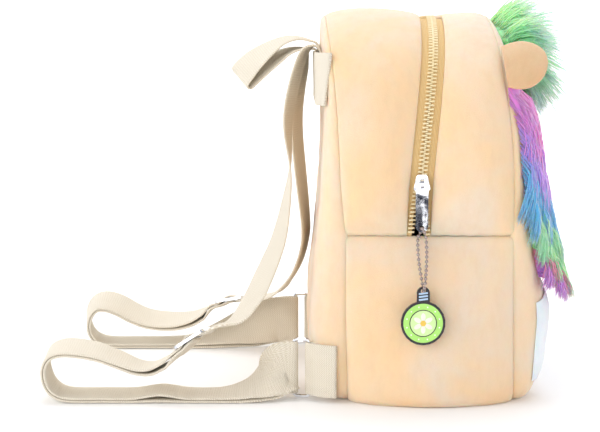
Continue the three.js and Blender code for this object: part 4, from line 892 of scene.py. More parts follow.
def webbing_run(stations, spacing=2.2):
    """Smooths a run of stations (centre, across, normal) into close ones, with the length along it."""
    centres = np.array([s[0] for s in stations])
    per_span = 10
    fine = spline(centres, False, per_span)
    places = np.arange(len(fine)) / per_span
    rows = np.arange(len(stations))
    across = np.stack([np.interp(places, rows, [s[1][c] for s in stations]) for c in range(3)], axis=-1)
    normal = np.stack([np.interp(places, rows, [s[2][c] for s in stations]) for c in range(3)], axis=-1)
    lengths = np.concatenate([[0], np.cumsum(np.linalg.norm(np.diff(fine, axis=0), axis=1))])
    wanted = np.linspace(0, lengths[-1], max(4, int(lengths[-1] / spacing)))
    pick = lambda a: np.stack([np.interp(wanted, lengths, a[:, c]) for c in range(3)], axis=-1)
    return pick(fine), pick(across), pick(normal), wanted


def webbing_mesh(name, stations, spacing=2.2):
    """A ribbon of webbing with soft selvedges, swept along the stations."""
    centres, across, normal, lengths = webbing_run(stations, spacing)
    half = webbing_width / 2
    tangents = np.gradient(centres, axis=0)
    rings = []
    uv = []
    edge = [(1, 0), (0.985, 0.7), (0.94, 1.06), (0.5, 1)]
    section = [(-a, t) for a, t in edge] + [(0, 1)] + edge[::-1]
    section += [(a, -t) for a, t in section[1:-1]][::-1]
    for k, centre in enumerate(centres):
        tangent = unit(tangents[k])
        side = across[k] - tangent * np.dot(across[k], tangent)
        side = unit(side)
        out = np.cross(side, tangent)
        if np.dot(out, normal[k]) < 0:
            out = -out
        rings.append([centre + side * a * half + out * t * webbing_thickness / 2 for a, t in section])
        uv += [(a * half + 50, lengths[k]) for a, t in section]
    made = mesh_object(name, *loft(rings), cotton_webbing, uv=uv)
    turned_outwards(made)
    return made


# The band is sewn across the back at both side seams, over the strap ends and the loop's ends.
band_drop = 43.5
band_height = bag_height - band_drop
band_low = band_height - webbing_width / 2
band_high = band_height + webbing_width / 2
band_lift = 2 * webbing_thickness + 3 * seam_gap


def inside_outline(y, z):
    half = bag_width / 2
    above = z > dome_centre_height
    radius = np.where(above, top_corner_radius, bottom_corner_radius)
    beyond_y = np.abs(y) - (half - radius)
    beyond_z = np.where(above, z - (bag_height - radius), radius - z)
    in_corner = (beyond_y > 0) & (beyond_z > 0)
    plain = (np.abs(y) < half) & (z > 0) & (z < bag_height)
    return np.where(in_corner, np.hypot(beyond_y, beyond_z) < radius, plain)


def panel_share(y, z):
    """0 at the dome's centre, 1 on the seam."""
    low = np.zeros(np.shape(y))
    high = np.full(np.shape(y), 8.0)
    for _ in range(30):
        scale = (low + high) / 2
        inside = inside_outline(y * scale, dome_centre_height + (z - dome_centre_height) * scale)
        low = np.where(inside, scale, low)
        high = np.where(inside, high, scale)
    return np.minimum(1, 1 / np.maximum(low, 1e-6))


def panel_x(face, y, z):
    column, swell, way = panel_columns[face]
    return body_at(column, z) + way * body_at(swell, z) * dome_fullness(panel_share(y, z))


def panel_point(face, y, z, lift=0.0):
    """A point of a panel's outer face, lifted off it, and the outward normal."""
    y = np.asarray(y, float)
    z = np.asarray(z, float)
    step = 0.5
    slope_y = (panel_x(face, y + step, z) - panel_x(face, y - step, z)) / (2 * step)
    slope_z = (panel_x(face, y, z + step) - panel_x(face, y, z - step)) / (2 * step)
    way = panel_columns[face][2]
    normal = np.stack([np.ones(np.shape(y)), -slope_y, -slope_z], axis=-1) * way
    normal = normal / np.linalg.norm(normal, axis=-1, keepdims=True)
    point = np.stack([panel_x(face, y, z), y, z], axis=-1)
    return point + normal * np.asarray(lift)[..., None], normal


def outline_half_width(z):
    above = z - (bag_height - top_corner_radius)
    if above <= 0:
        return bag_width / 2
    return bag_width / 2 - top_corner_radius + math.sqrt(max(0, top_corner_radius ** 2 - above ** 2))


band_stations = []
for k in range(41):
    share = math.sin((k / 40 - 0.5) * math.pi)
    inner = min(1, max(0, (1 - abs(share) - 0.03) / 0.27))
    lift = 0.6 + (band_lift - 0.6) * inner * inner * (3 - 2 * inner) + webbing_thickness / 2
    low, mid, high = (panel_point("back", share * (outline_half_width(z) - 1.2), z, lift)
                      for z in (band_low, band_height, band_high))
    band_stations.append(((low[0] + mid[0] + high[0]) / 3, unit(high[0] - low[0]), mid[1]))
back_band = webbing_mesh("back_band_webbing", band_stations, 2.5)
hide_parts("back_band")
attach(back_band, "bag")


def framed(centres, rolls):
    """Stations along a run: level across with roll 0, and the normal out of the loop."""
    centres = np.asarray(centres, float)
    fine = spline(centres, False, 8)
    stations = []
    for k, centre in enumerate(centres):
        i = min(k * 8, len(fine) - 1)
        tangent = unit(fine[min(i + 1, len(fine) - 1)] - fine[max(i - 1, 0)])
        level = np.array([0.0, 1, 0]) - tangent * tangent[1]
        level = unit(level)
        out = unit(np.cross(level, tangent))
        roll = math.radians(rolls[k])
        across = level * math.cos(roll) + out * math.sin(roll)
        normal = out * math.cos(roll) - level * math.sin(roll)
        stations.append((centre, across, normal, tangent))
    return stations


def outer_layer(station, distance):
    return (station[0] + station[2] * distance, station[1], station[2], station[3])


def inner_layer(station, distance):
    return (station[0] - station[2] * distance, station[1], -station[2], station[3])


def fold_round(station, radius):
    """Half a turn of webbing beyond a station, from its outer layer to its inner one."""
    turned = []
    for degrees in (30, 60, 90, 120, 150):
        angle = math.radians(degrees)
        normal = station[2] * math.cos(angle) + station[3] * math.sin(angle)
        turned.append((station[0] + normal * radius, station[1], normal, station[3]))
    return turned


def refined(rows, steps):
    """Rows between a table's rows, so that a bend is round."""
    columns = np.array(rows, float).T
    places = np.arange((len(rows) - 1) * steps + 1) / steps
    table = {"at": np.arange(len(rows))}
    for index, column in enumerate(columns):
        table[index] = column
    return np.stack([reading(table, index, places) for index in range(len(columns))], axis=-1)


# The hanging loop goes up under the band; its two layers part so that a hand can take it.
haul_reach = 58.0
# Rows: out and drop as shares of haul_reach, roll in degrees, spread as a share of the webbing's width.
haul_rows = [
    (0.04, -0.07, 0, 0.08), (0.22, -0.1, 2, 0.16), (0.4, -0.07, 8, 0.2),
    (0.6, 0.04, 17, 0.2), (0.8, 0.18, 26, 0.15), (0.95, 0.32, 30, 0.08),
]
root_x = float(panel_x("back", np.array(0.0), np.array(band_high)))
loop_middle = seam_gap * 1.5 + webbing_thickness
haul_fine = refined(haul_rows, 2)
haul_centres = [
    panel_point("back", 0, band_low + webbing_width * 0.4, loop_middle)[0],
    panel_point("back", 0, band_high + 1, loop_middle)[0],
]
for out, drop, _, _ in haul_fine:
    haul_centres.append((root_x - haul_reach * out - loop_middle, 0, band_high - drop * haul_reach))
haul_stations = framed(haul_centres, [0, 0] + [r for _, _, r, _ in haul_fine])
haul_part = [0, 0] + [s * webbing_width / 2 for _, _, _, s in haul_fine]
haul_offsets = [webbing_thickness / 2 + seam_gap / 2 + part for part in haul_part]
haul_run = [outer_layer(s, o) for s, o in zip(haul_stations, haul_offsets)]
haul_run += fold_round(haul_stations[-1], haul_offsets[-1])
haul_run += [inner_layer(s, o) for s, o in zip(haul_stations, haul_offsets)][::-1]
haul_loop = webbing_mesh("haul_loop_webbing", haul_run)
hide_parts("haul_loop")
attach(haul_loop, "bag")


# Side tabs: short folds of webbing sewn into the side seams near the floor. Each holds a steel wire ring.
ring_wire = 2.5
ring_width = 13.5
ring_middle_z = (webbing_width + 1 + 2 * ring_wire) / 2 + 0.4
tab_fold = ring_wire / 2 + seam_gap + webbing_thickness / 2
tab_reach = 7.0


def side_surface(share):
    column, swell, _ = panel_columns["back"]
    heights = ring_middle_z + np.array([-0.5, 0, 0.5]) * webbing_width
    x = (body_at(column, heights) - body_at(swell, heights) * dome_fullness(share)).min()
    return np.array([x, -share * bag_width / 2, ring_middle_z])


tab_points = []
for share in (0.997, 0.985, 0.96, 0.93):
    tangent = unit(side_surface(share - 0.004) - side_surface(share + 0.002))
    outward = -np.cross([0, 0, 1], tangent)
    outward = outward if outward[1] <= 0 else -outward
    tab_points.append(side_surface(share) + outward * (seam_gap * 2 + webbing_thickness))
tab_bar = tab_points[-1] + tangent * tab_reach
ring_turn = math.atan2(0.25, -1)
ring_direction = np.array([math.cos(ring_turn), math.sin(ring_turn), 0])
strap_bar = tab_bar + ring_direction * (ring_width - ring_wire)


def mirrored(v, side):
    return np.array(v) if side == "near" else np.array([v[0], -v[1], v[2]])


for side in ("near", "far"):
    line = [mirrored(p, side) for p in tab_points + [tab_bar]]
    stations = []
    for k, centre in enumerate(line):
        tangent = unit(np.subtract(line[min(k + 1, len(line) - 1)], line[max(k - 1, 0)]))
        stations.append((centre, np.array([0.0, 0, 1]), unit(np.cross([0, 0, 1], tangent)), tangent))
    close = webbing_thickness / 2 + seam_gap / 2
    offsets = [close] * (len(line) - 1) + [tab_fold]
    run = [outer_layer(s, o) for s, o in zip(stations, offsets)]
    run += fold_round(stations[-1], tab_fold)
    run += [inner_layer(s, o) for s, o in zip(stations, offsets)][::-1]
    tab = webbing_mesh(f"tab_{side}_webbing", run, 1.6)
    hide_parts(f"tab_{side}")
    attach(tab, "bag")
    rounded_node(f"ring_{side}", nickel, 0.3, 70)
    rounded_node(f"triglide_{side}", nickel, 0.45, 40)

# Shoulder straps: each end is sewn under the band; the webbing goes down through the adjuster, lies in a
# loop on the floor, turns round the ring and comes back to the adjuster's middle bar.
strap_reach = 172.9
strap_top = band_height + 14.5
triglide_length = 24.0
# Rows: out as a share of strap_reach beyond the ring, side of half the bag's width, up of strap_top, roll.
strap_rows = {
    "near": [
        (-0.084, 0.345, 1.034, 0), (-0.049, 0.345, 1.021, -8), (-0.022, 0.345, 0.978, -10),
        (0.003, 0.345, 0.91, -11), (0.023, 0.345, 0.833, -10), (0.026, 0.35, 0.76, -7),
        (0.017, 0.365, 0.67, 0), (0.03, 0.393, 0.579, 7), (0.062, 0.473, 0.461, 14),
        (0.11, 0.58, 0.369, 18), (0.169, 0.705, 0.279, 16), (0.23, 0.804, 0.227, 2),
        (0.288, 0.85, 0.214, -8),
    ],
    "far": [
        (-0.087, 0.345, 1.034, 0), (-0.054, 0.345, 1.02, -5), (-0.038, 0.345, 0.961, -12),
        (-0.022, 0.345, 0.893, -13), (-0.011, 0.345, 0.815, -13), (-0.012, 0.345, 0.738, -13),
        (-0.022, 0.35, 0.652, -13), (-0.035, 0.36, 0.562, -12), (-0.048, 0.388, 0.464, -10),
        (-0.046, 0.438, 0.391, -9), (-0.017, 0.509, 0.309, -8), (0.03, 0.589, 0.246, -8),
        (0.091, 0.679, 0.197, -8), (0.162, 0.763, 0.178, -9),
    ],
}
# The adjusters: out, side, up, pitch and roll.
triglide_rows = {"near": (0.4, 0.866, 0.179, 33, -10), "far": (0.298, 0.866, 0.16, 10, -9)}
# The doubled loop: out, side, up, roll, and the space between its layers as a share of their thickness.
loop_rows = {
    "near": [
        (0.501, 0.866, 0.1, -4, 1.4), (0.559, 0.866, 0.08, -3, 1.3), (0.62, 0.866, 0.083, 0, 0.7),
        (0.687, 0.866, 0.103, 3, 0.3), (0.771, 0.866, 0.127, 5, 0.2), (0.85, 0.866, 0.139, 6, 0.2),
        (0.916, 0.866, 0.141, 6, 0.2), (0.962, 0.866, 0.128, 5, 0.2), (0.985, 0.866, 0.098, 3, 0.2),
        (0.983, 0.866, 0.061, 1, 0.2), (0.962, 0.866, 0.027, 0, 0.2), (0.921, 0.866, 0.006, 0, 0.2),
        (0.863, 0.866, 0, 0, 0.2), (0.756, 0.866, 0, 0, 0.2), (0.633, 0.866, 0, 0, 0.3),
        (0.527, 0.866, 0.006, 0, 1.6), (0.42, 0.866, 0, 0, 0.3), (0.298, 0.866, 0, 0, 0.3),
        (0.214, 0.866, 0.008, -6, 0.6), (0.153, 0.866, 0.022, -15, 1.4), (0.099, 0.867, 0.044, -34, 2),
    ],
    "far": [
        (0.42, 0.866, 0.101, -1, 1.4), (0.479, 0.866, 0.082, 4, 1.2), (0.55, 0.866, 0.074, 9, 0.8),
        (0.618, 0.866, 0.075, 11, 0.5), (0.687, 0.866, 0.083, 12, 0.3), (0.751, 0.866, 0.102, 13, 0.2),
        (0.815, 0.866, 0.128, 14, 0.2), (0.873, 0.866, 0.142, 14, 0.2), (0.919, 0.866, 0.138, 13, 0.2),
        (0.948, 0.866, 0.116, 11, 0.2), (0.96, 0.866, 0.086, 8, 0.2), (0.957, 0.866, 0.054, 5, 0.2),
        (0.939, 0.866, 0.026, 3, 0.2), (0.901, 0.866, 0.006, 0, 0.2), (0.847, 0.866, 0, 0, 0.2),
        (0.725, 0.866, 0, 0, 0.2), (0.603, 0.866, 0, 0, 0.3), (0.496, 0.866, 0.003, -2, 0.4),
        (0.407, 0.866, 0.013, -12, 0.8), (0.32, 0.868, 0.03, -25, 1.4), (0.236, 0.872, 0.048, -42, 1.8),
        (0.145, 0.872, 0.068, -62, 2), (0.091, 0.872, 0.078, -78, 2),
    ],
}
# Through the adjuster: along as a share of half its length, above as a share of the webbing's thickness.
weave_rows = [
    (-1.35, -1.32), (-1.04, -1.32), (-0.8, -1.32), (-0.46, 0), (-0.13, 1.32),
    (0.13, 1.32), (0.46, 0), (0.8, -1.32), (1.04, -1.32), (1.3, -1.5),
]
return_rows = [(1.28, -2.9), (1, -2.6), (0.6, -2.3), (0.2, -1.4), (-0.16, -1.36)]


def strap_place(out, sideways, up, way):
    """A place on a strap's route from shares of its named sizes."""
    return np.array([strap_bar[0] - strap_reach * out, way * sideways * bag_width / 2, strap_top * up])


def triglide_frame(side):
    out, sideways, up, pitch, roll = triglide_rows[side]
    way = -1 if side == "near" else 1
    centre = strap_place(out, sideways, up, way)
    pitch = math.radians(pitch)
    roll = math.radians(roll)
    tangent = np.array([-math.cos(pitch), 0, -math.sin(pitch)])
    level = np.array([0.0, 1, 0])
    out_way = np.cross(level, tangent)
    across = level * math.cos(roll) + out_way * math.sin(roll)
    normal = out_way * math.cos(roll) - level * math.sin(roll)
    return centre, tangent, across, normal


def adjuster_run(side, rows):
    centre, tangent, across, normal = triglide_frame(side)
    line = [centre + tangent * a * triglide_length / 2 + normal * b * webbing_thickness for a, b in rows]
    stations = []
    for k, point in enumerate(line):
        way = unit(line[min(k + 1, len(line) - 1)] - line[max(k - 1, 0)])
        stations.append((point, across, unit(np.cross(across, way)), way))
    return stations


for side in ("near", "far"):
    way = -1 if side == "near" else 1
    root_side = way * strap_rows[side][0][1] * bag_width / 2
    root_lift = seam_gap + webbing_thickness / 2
    root_heights = (band_low + webbing_width * 0.4, band_high + 1)
    roots = [panel_point("back", root_side, z, root_lift)[0] for z in root_heights]
    upper_rows = refined(strap_rows[side], 2)
    upper_centres = roots + [strap_place(*r[:3], way) for r in upper_rows]
    upper = framed(upper_centres, [0, 0] + [r[3] for r in upper_rows])

    floor_rest = webbing_thickness * 1.1 + seam_gap
    fine_rows = refined(loop_rows[side], 3)
    loop_centres = [strap_place(*r[:3], way) + np.array([0, 0, floor_rest]) for r in fine_rows]
    half_gaps = [webbing_thickness / 2 + r[4] * webbing_thickness / 2 for r in fine_rows]
    half_gaps += [tab_fold, tab_fold]
    away = unit(mirrored([-1, 0.12, 0], side))
    bar = mirrored(strap_bar, side)
    run = framed(loop_centres + [bar + away * 6, bar], [r[3] for r in fine_rows] + [-90, -90])
    loop = []
    for k, (centre, across, normal, tangent) in enumerate(run):
        if k >= len(fine_rows):
            across = np.array([0, 0, math.copysign(1, across[2])])
            loop.append((centre, across, unit(np.cross(across, -away)), -away))
            continue
        stack = half_gaps[k] + webbing_thickness / 2
        low = centre[2] - abs(across[2]) * webbing_width / 2 - abs(normal[2]) * stack
        loop.append((centre - np.array([0, 0, min(0, low)]), across, normal, tangent))
    whole = upper + adjuster_run(side, weave_rows)
    whole += [outer_layer(s, gap) for s, gap in zip(loop, half_gaps)]
    whole += fold_round(loop[-1], tab_fold)
    whole += [inner_layer(s, gap) for s, gap in zip(loop, half_gaps)][::-1]
    whole += adjuster_run(side, return_rows)
    strap = webbing_mesh(f"strap_{side}_webbing", whole)
    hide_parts(f"strap_{side}")
    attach(strap, "bag")


# Ears: two rounds of tan plush sewn edge to edge, turned, lightly filled and caught in the front seam.
tan_plush = plush_material("tan_velboa_plush", "#D8B58C", "#E0C4A2", "#C49E78", "#F6EEEA")
ear_width = 36.0
ear_length = 29.0
ear_thickness = 8.0
ear_stand = 0.36
ear_cup = 0.004
ear_angle = math.radians(31)
ear_flare = math.radians(14)
ear_profile = {
    "at": [0, 0.2, 0.45, 0.7, 0.88, 0.97, 1],
    "wide": [0.86, 0.97, 1, 0.86, 0.6, 0.31, 0.04],
    "thick": [0.7, 0.95, 1, 0.9, 0.68, 0.42, 0.06],
}
for side, way in (("near", -1), ("far", 1)):
    corner_y = bag_width / 2 - top_corner_radius
    corner_z = bag_height - top_corner_radius
    outward = np.array([0, way * math.cos(ear_angle), math.sin(ear_angle)])
    across = np.array([0, -way * math.sin(ear_angle), math.cos(ear_angle)])
    root_z = corner_z + top_corner_radius * math.sin(ear_angle)
    root_y = way * (corner_y + top_corner_radius * math.cos(ear_angle))
    root_x = float(body_at("front", root_z)) + seam_gap
    root = np.array([root_x, root_y, root_z]) + outward * ear_thickness * ear_stand
    forward = np.array([math.cos(ear_flare), 0, 0]) + outward * math.sin(ear_flare)
    lean = float(body_at("front", root_z + 5) - body_at("front", root_z - 5)) / 10
    rings = []
    for at in 1 - (1 - np.linspace(0, 1, 26)) ** 1.6:
        wide = float(reading(ear_profile, "wide", at))
        thick = float(reading(ear_profile, "thick", at))
        centre = root + forward * ear_length * at
        ring = []
        for turn in np.linspace(0, 2 * math.pi, 49)[:-1]:
            along = ear_width / 2 * wide * math.cos(turn)
            cup = ear_cup * along * along * at
            # The edge seam pinches the pad to a line.
            fullness = abs(math.sin(turn)) ** 0.8 * math.copysign(1, math.sin(turn))
            lift = ear_thickness / 2 * thick * fullness - cup
            # At the root the ear follows the seam's lean.
            follow = np.array([(1 - at) * along * across[2] * lean, 0, 0])
            ring.append(centre + across * along + follow + outward * lift)
        rings.append(ring)
    ear = mesh_object(f"ear_{side}_plush", *loft(rings), tan_plush)
    turned_outwards(ear)
    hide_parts(f"ear_{side}")
    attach(ear, "bag")


# Mane: long acrylic pile on a knitted backing, sewn on the front panel, dyed in bands of clear colours.
# Its fibres are far finer than can be drawn, so each strand here stands for a small bundle, and strands
# lean together in locks that end in a point.
def pile_material(name, stops, tip, tip_share):
    """Colour by the height of the root, turning to the tip's colour along the strand."""
    material, tree, shader = new_material(name)
    strand = add(tree, "Attribute", attribute_name="strand")
    parts = add(tree, "SeparateXYZ", {"Vector": strand.outputs["Vector"]})
    ramp = add(tree, "ValToRGB", {"Fac": parts.outputs["X"]})
    elements = ramp.color_ramp.elements
    for element, (position, colour) in zip(elements, (stops[0], stops[-1])):
        element.position = position
        element.color = linear(colour)
    for position, colour in stops[1:-1]:
        elements.new(position).color = linear(colour)
    paling = add(tree, "MapRange", {"Value": parts.outputs["Y"], "From Min": 0.45, "To Max": tip_share})
    colour = mixed(tree, paling.outputs["Result"], ramp.outputs["Color"], tip)
    # Painted shade darkens the roots, where light is lost; each bundle is a little lighter or darker than the
    # next.
    depth = add(tree, "MapRange", {"Value": parts.outputs["Y"], "From Max": 0.35, "To Min": 0.86})
    vary = add(tree, "MapRange", {"Value": parts.outputs["Z"], "To Min": 0.94, "To Max": 1.16})
    shade = calculated(tree, "MULTIPLY", depth.outputs["Result"], vary.outputs["Result"])
    shaded = add(tree, "HueSaturation", {"Color": colour, "Value": shade})
    set_shader(tree, shader, Base_Color=shaded.outputs["Color"], Roughness=0.5)
    shader.inputs["Specular IOR Level"].default_value = 0.3
    shader.inputs["Sheen Weight"].default_value = 0.5
    # Light passes through the fibres.
    shader.inputs["Subsurface Weight"].default_value = 0.6
    shader.inputs["Subsurface Scale"].default_value = 0.004
    return material


# A strand's width from its root to its tip, as shares; it has as many points along it, and three sides.
strand_taper = np.array([0.85, 1.0, 0.95, 0.7, 0.12])
strand_sides = 3
strand_count = 7000


def pile_mesh(name, roots, ends, colour_at, width, seed, material, backing, bend):
    """Strands from their roots to their ends, over a thin backing; colour_at is a share for each root.

    bend says how far forward and up a strand is bowed, each with a power that moves the bow to its root.
    """
    rng = np.random.default_rng(seed)
    count = len(roots)
    steps = np.linspace(0, 1, len(strand_taper))
    lines = roots[:, None, :] * (1 - steps)[None, :, None] + ends[:, None, :] * steps[None, :, None]
    (forward, forward_power), (rise, rise_power) = bend
    forward_bow = forward * np.sin(np.pi * steps ** forward_power)
    rise_bow = rise * np.sin(np.pi * steps ** rise_power)
    lines += np.stack([forward_bow, 0 * steps, rise_bow], axis=-1)[None]
    lines += rng.normal(0, 0.35, lines.shape) * np.minimum(1, steps * 3)[None, :, None]
    tangents = np.gradient(lines, axis=1)
    tangents /= np.linalg.norm(tangents, axis=2, keepdims=True)
    side = np.cross(tangents, [0.0, 1.0, 0.0])
    side /= np.linalg.norm(side, axis=2, keepdims=True) + 1e-9
    up = np.cross(side, tangents)
    thick = width * rng.uniform(0.7, 1.3, count)[:, None] * strand_taper[None, :]
    points = []
    for k in range(strand_sides):
        turn = 2 * math.pi * k / strand_sides
        points.append(lines + (side * math.cos(turn) + up * math.sin(turn)) * thick[..., None] / 2)
    points = np.stack(points, axis=2)
    first = np.arange(count) * len(steps) * strand_sides
    faces = []
    for s in range(len(steps) - 1):
        row = first + strand_sides * s
        above = row + strand_sides
        for k in range(strand_sides):
            m = (k + 1) % strand_sides
            faces += np.stack([row + k, row + m, above + m, above + k], axis=1).tolist()
    faces += np.stack([first + 2, first + 1, first], axis=1).tolist()
    faces += np.stack([above, above + 1, above + 2], axis=1).tolist()
    strand_points = points.reshape(-1, 3)
    values = np.zeros((count, len(steps), strand_sides, 3))
    values[..., 0] = colour_at[:, None, None]
    values[..., 1] = steps[None, :, None]
    values[..., 2] = rng.uniform(0, 1, count)[:, None, None]
    back_points, back_faces, back_values = backing
    faces += [tuple(i + len(strand_points) for i in face) for face in back_faces]
    made = mesh_object(name, np.vstack([strand_points, back_points]), faces, material)
    attribute = made.data.attributes.new("strand", "FLOAT_VECTOR", "POINT")
    attribute.data.foreach_set("vector", np.vstack([values.reshape(-1, 3), back_values]).ravel())
    return made


def pile_backing(side_at, up_at, columns, rows, lift, colour_of):
    """A closed thin layer on the front panel between edges given as shares."""
    rings = []
    values = []
    for k in range(columns + 1):
        u = k / columns
        v = np.linspace(0, 1, rows + 1)
        y = side_at(u, v) * bag_width / 2
        z = up_at(u, v) * bag_height
        top = panel_point("front", y, z, lift)[0]
        low = panel_point("front", y, z, 0.6)[0]
        rings.append(np.vstack([top, low[::-1]]))
        # The backing is coloured as a strand near its root, so it takes the pile's painted shade.
        shade = np.stack([colour_of(z), np.full(len(z), 0.12), np.full(len(z), 0.5)], axis=-1)
        values.append(np.vstack([shade, shade[::-1]]))
    points, faces = loft(rings)
    return points, faces, np.concatenate(values)


mane_reach = 48.0


def gathered_locks(ends, roots, locks, pull, rng):
    """Draws each strand's end towards the end of the nearest of a few strands, chosen as lock tips."""
    picks = rng.choice(len(roots), locks, replace=False)
    distance = np.linalg.norm(roots[:, None, :] - roots[picks][None, :, :], axis=2)
    nearest = picks[np.argmin(distance, axis=1)]
    weight = pull[:, None]
    return ends * (1 - weight) + ends[nearest] * weight


# The forelock leaves the top of the front panel, stands a little, and falls forwards over it.
rng = np.random.default_rng(11)
top_stops = [(0.0, "#86F298"), (0.5, "#98F7A8"), (1.0, "#B0FBC0")]
top_pile = pile_material("green_acrylic_pile", top_stops, "#D4F2F2", 0.75)
top_width_share = 0.62
top_locks = 190
u = rng.uniform(-1, 1, strand_count)
v = rng.uniform(0, 1, strand_count)
root_y = u * top_width_share * bag_width / 2
root_z = bag_height * (0.872 + v * (0.103 - 0.045 * u * u))
roots = panel_point("front", root_y, root_z, 1.0)[0]
lock_noise = np.array([noise.noise((a * 0.07, b * 0.12, 2.0)) for a, b in zip(root_y, root_z)])
length = mane_reach * (0.64 + 0.3 * (1 - v) + 0.28 * lock_noise) * rng.uniform(0.75, 1.08, strand_count)
# How far each strand hangs below level, in radians.
fall = -0.42 + 1.7 * (1 - v) ** 1.1 + 0.6 * lock_noise + rng.normal(0, 0.15, strand_count)
fall = np.clip(fall, -0.75, 1.35)
wisps = rng.uniform(0, 1, strand_count) < 0.09
length = np.where(wisps, length * 1.3, length)
fall = np.where(wisps, fall - 0.3, fall)
reach = length * np.cos(fall)
drop = length * np.sin(fall)
ends = roots + np.stack([reach, root_y * 0.06 + 9 * lock_noise, -drop], axis=-1)
pull = np.where(wisps, 0.1, rng.uniform(0.2, 0.85, strand_count))
ends = gathered_locks(ends, roots, top_locks, pull, rng)
top_bend = ((1.5, 1), (5, 0.8))
backing = pile_backing(lambda a, b: top_width_share * (2 * a - 1) + 0 * b,
                       lambda a, b: 0.868 + b * (0.108 - 0.045 * (2 * a - 1) ** 2),
                       30, 8, 4.5, lambda z: np.full(np.shape(z), 0.2))
shades = 0.5 + 0.5 * lock_noise
mane_top = pile_mesh("mane_top_pile", roots, ends, shades, 0.8, 21, top_pile, backing, top_bend)
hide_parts("mane_top")
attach(mane_top, "bag")

# Down each side of the face the pile is dyed from pink at the top to magenta at the bottom.
side_stops = [
    (0.0, "#DC78DE"), (0.06, "#E078D2"),
    (0.09, "#F07A9E"), (0.13, "#F07A9E"),
    (0.16, "#A6FBA8"), (0.36, "#B2FCBC"),
    (0.41, "#5CBEF4"), (0.62, "#66C0F8"),
    (0.67, "#CC96FA"), (0.79, "#D49CFC"),
    (0.84, "#FF84E0"), (1.0, "#FF8CDC"),
]
side_pile = pile_material("dyed_acrylic_pile", side_stops, "#FFFFFF", 0.12)
low_z = bag_height * 0.325
high_z = bag_height * 0.815
side_locks = 90
side_bend = ((6.5, 0.7), (2, 1))
for side, way in (("near", -1), ("far", 1)):
    rng = np.random.default_rng(31 if way < 0 else 37)
    v = rng.uniform(0, 1, strand_count)
    u = rng.uniform(0, 1, strand_count)
    outer = 0.998 - 0.02 * v - 0.09 * np.clip(v - 0.4, 0, 1)
    inner = 0.58 + 0.05 * v
    root_y = way * (inner + (outer - inner) * u) * bag_width / 2
    ragged = np.array([noise.noise((a * 0.3, 3.0, way)) for a in root_y])
    root_z = high_z + 5 * ragged * (1 - v) + (low_z - high_z) * v
    roots = panel_point("front", root_y, root_z, 1.0)[0]
    lock_noise = np.array([noise.noise((a * 0.09, b * 0.05, 5.0 + way)) for a, b in zip(root_y, root_z)])
    length = (50 - 30 * v ** 1.5 + 11 * lock_noise) * rng.uniform(0.7, 1.05, strand_count)
    end_y = root_y - way * 3 + way * 7 * u ** 3 + 6 * lock_noise
    end_z = root_z - length
    surface = panel_point("front", end_y, np.maximum(end_z, 20), 0.0)[0]
    stand = (6 + 11 * rng.uniform(0, 1, strand_count) ** 1.3 + 6 * lock_noise) * (0.85 + 0.35 * v)
    # The outermost locks lie back over the seam.
    back = 10 * u ** 6 * np.clip(1.4 - 1.2 * v, 0, 1)
    ends = np.stack([np.maximum(surface[:, 0], roots[:, 0] - 2) + stand - back, end_y, end_z], axis=-1)
    ends = gathered_locks(ends, roots, side_locks, rng.uniform(0.3, 0.85, strand_count), rng)
    colour_at = np.clip((root_z - low_z) / (high_z - low_z) + 0.07 * lock_noise, 0, 1)
    backing = pile_backing(lambda a, b: way * (0.57 + 0.05 * b + (0.41 - 0.11 * b) * a),
                           lambda a, b: 0.815 - 0.485 * b + 0 * a, 10, 40, 3.2,
                           lambda z: np.clip((z - low_z) / (high_z - low_z), 0, 1))
    mane = pile_mesh(f"mane_{side}_pile", roots, ends, colour_at, 0.85, 41, side_pile, backing, side_bend)
    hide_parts(f"mane_{side}")
    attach(mane, "bag")


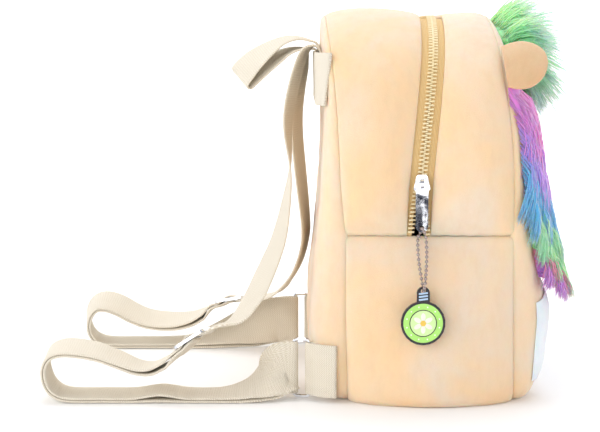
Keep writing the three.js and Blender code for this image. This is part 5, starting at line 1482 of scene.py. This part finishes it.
# The front of the face is hidden in the photograph: a plain white plush muzzle and two domed plastic eyes.
white_plush = plush_material("white_velboa_plush", "#F1EEF2", "#FBFAFB", "#DCD6E6", "#FFFFFF")
muzzle_width_share = 0.965
muzzle_swell = 1.6
rings = []
for k in range(49):
    share = math.sin((k / 48 - 0.5) * math.pi)
    top = bag_height * (0.26 + 0.07 * (1 - share * share))
    low = bag_height * (0.035 + 0.02 * share * share)
    v = 0.5 - 0.5 * np.cos(np.linspace(0, math.pi, 25))
    z = low + v * (top - low)
    y = np.full(25, share * muzzle_width_share * bag_width / 2)
    edge = np.minimum(1, 6 * v * (1 - v)) ** 0.5 * min(1, 5 * (1 - share * share)) ** 0.5
    over = panel_point("front", y, z, 0.5 + muzzle_swell * edge)[0]
    under = panel_point("front", y, z, 0.3)[0]
    rings.append(np.vstack([under, over[::-1]]))
muzzle = mesh_object("muzzle_plush", *loft(rings), white_plush)
turned_outwards(muzzle)
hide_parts("muzzle")
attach(muzzle, "bag")

eye_material, eye_tree, eye_shader = new_material("moulded_black_acrylic")
eye_cloud = add(eye_tree, "TexNoise", {"Scale": 700.0, "Detail": 2.0})
eye_tint = mixed(eye_tree, eye_cloud.outputs["Fac"], "#0F0A09", "#211813")
set_shader(eye_tree, eye_shader, Base_Color=eye_tint, Roughness=0.08, IOR=1.49)
eye_shader.inputs["Coat Weight"].default_value = 0.5
eye_radius = 7.5
eye_height = 4.0
eye_rim = 0.8
eye_side_share = 0.3
eye_height_share = 0.48
for side, way in (("near", -1), ("far", 1)):
    eye_y = way * eye_side_share * bag_width / 2
    point, normal = panel_point("front", eye_y, bag_height * eye_height_share, 0.6)
    right = unit(np.cross([0, 0, 1], normal))
    up = np.cross(normal, right)
    profile = [(0.02, 0), (eye_radius * 0.94, 0), (eye_radius * 0.99, 0.3)]
    for t in np.linspace(0, math.pi / 2 * 0.985, 14):
        profile.append((eye_radius * math.cos(t), eye_rim + (eye_height - eye_rim) * math.sin(t)))
    rings = [[point + normal * rise + (right * math.cos(t) + up * math.sin(t)) * radius
              for t in np.linspace(0, 2 * math.pi, 49)[:-1]] for radius, rise in profile]
    eye = mesh_object(f"eye_{side}_dome", *loft(rings), eye_material)
    turned_outwards(eye)
    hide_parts(f"eye_{side}")
    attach(eye, "bag")
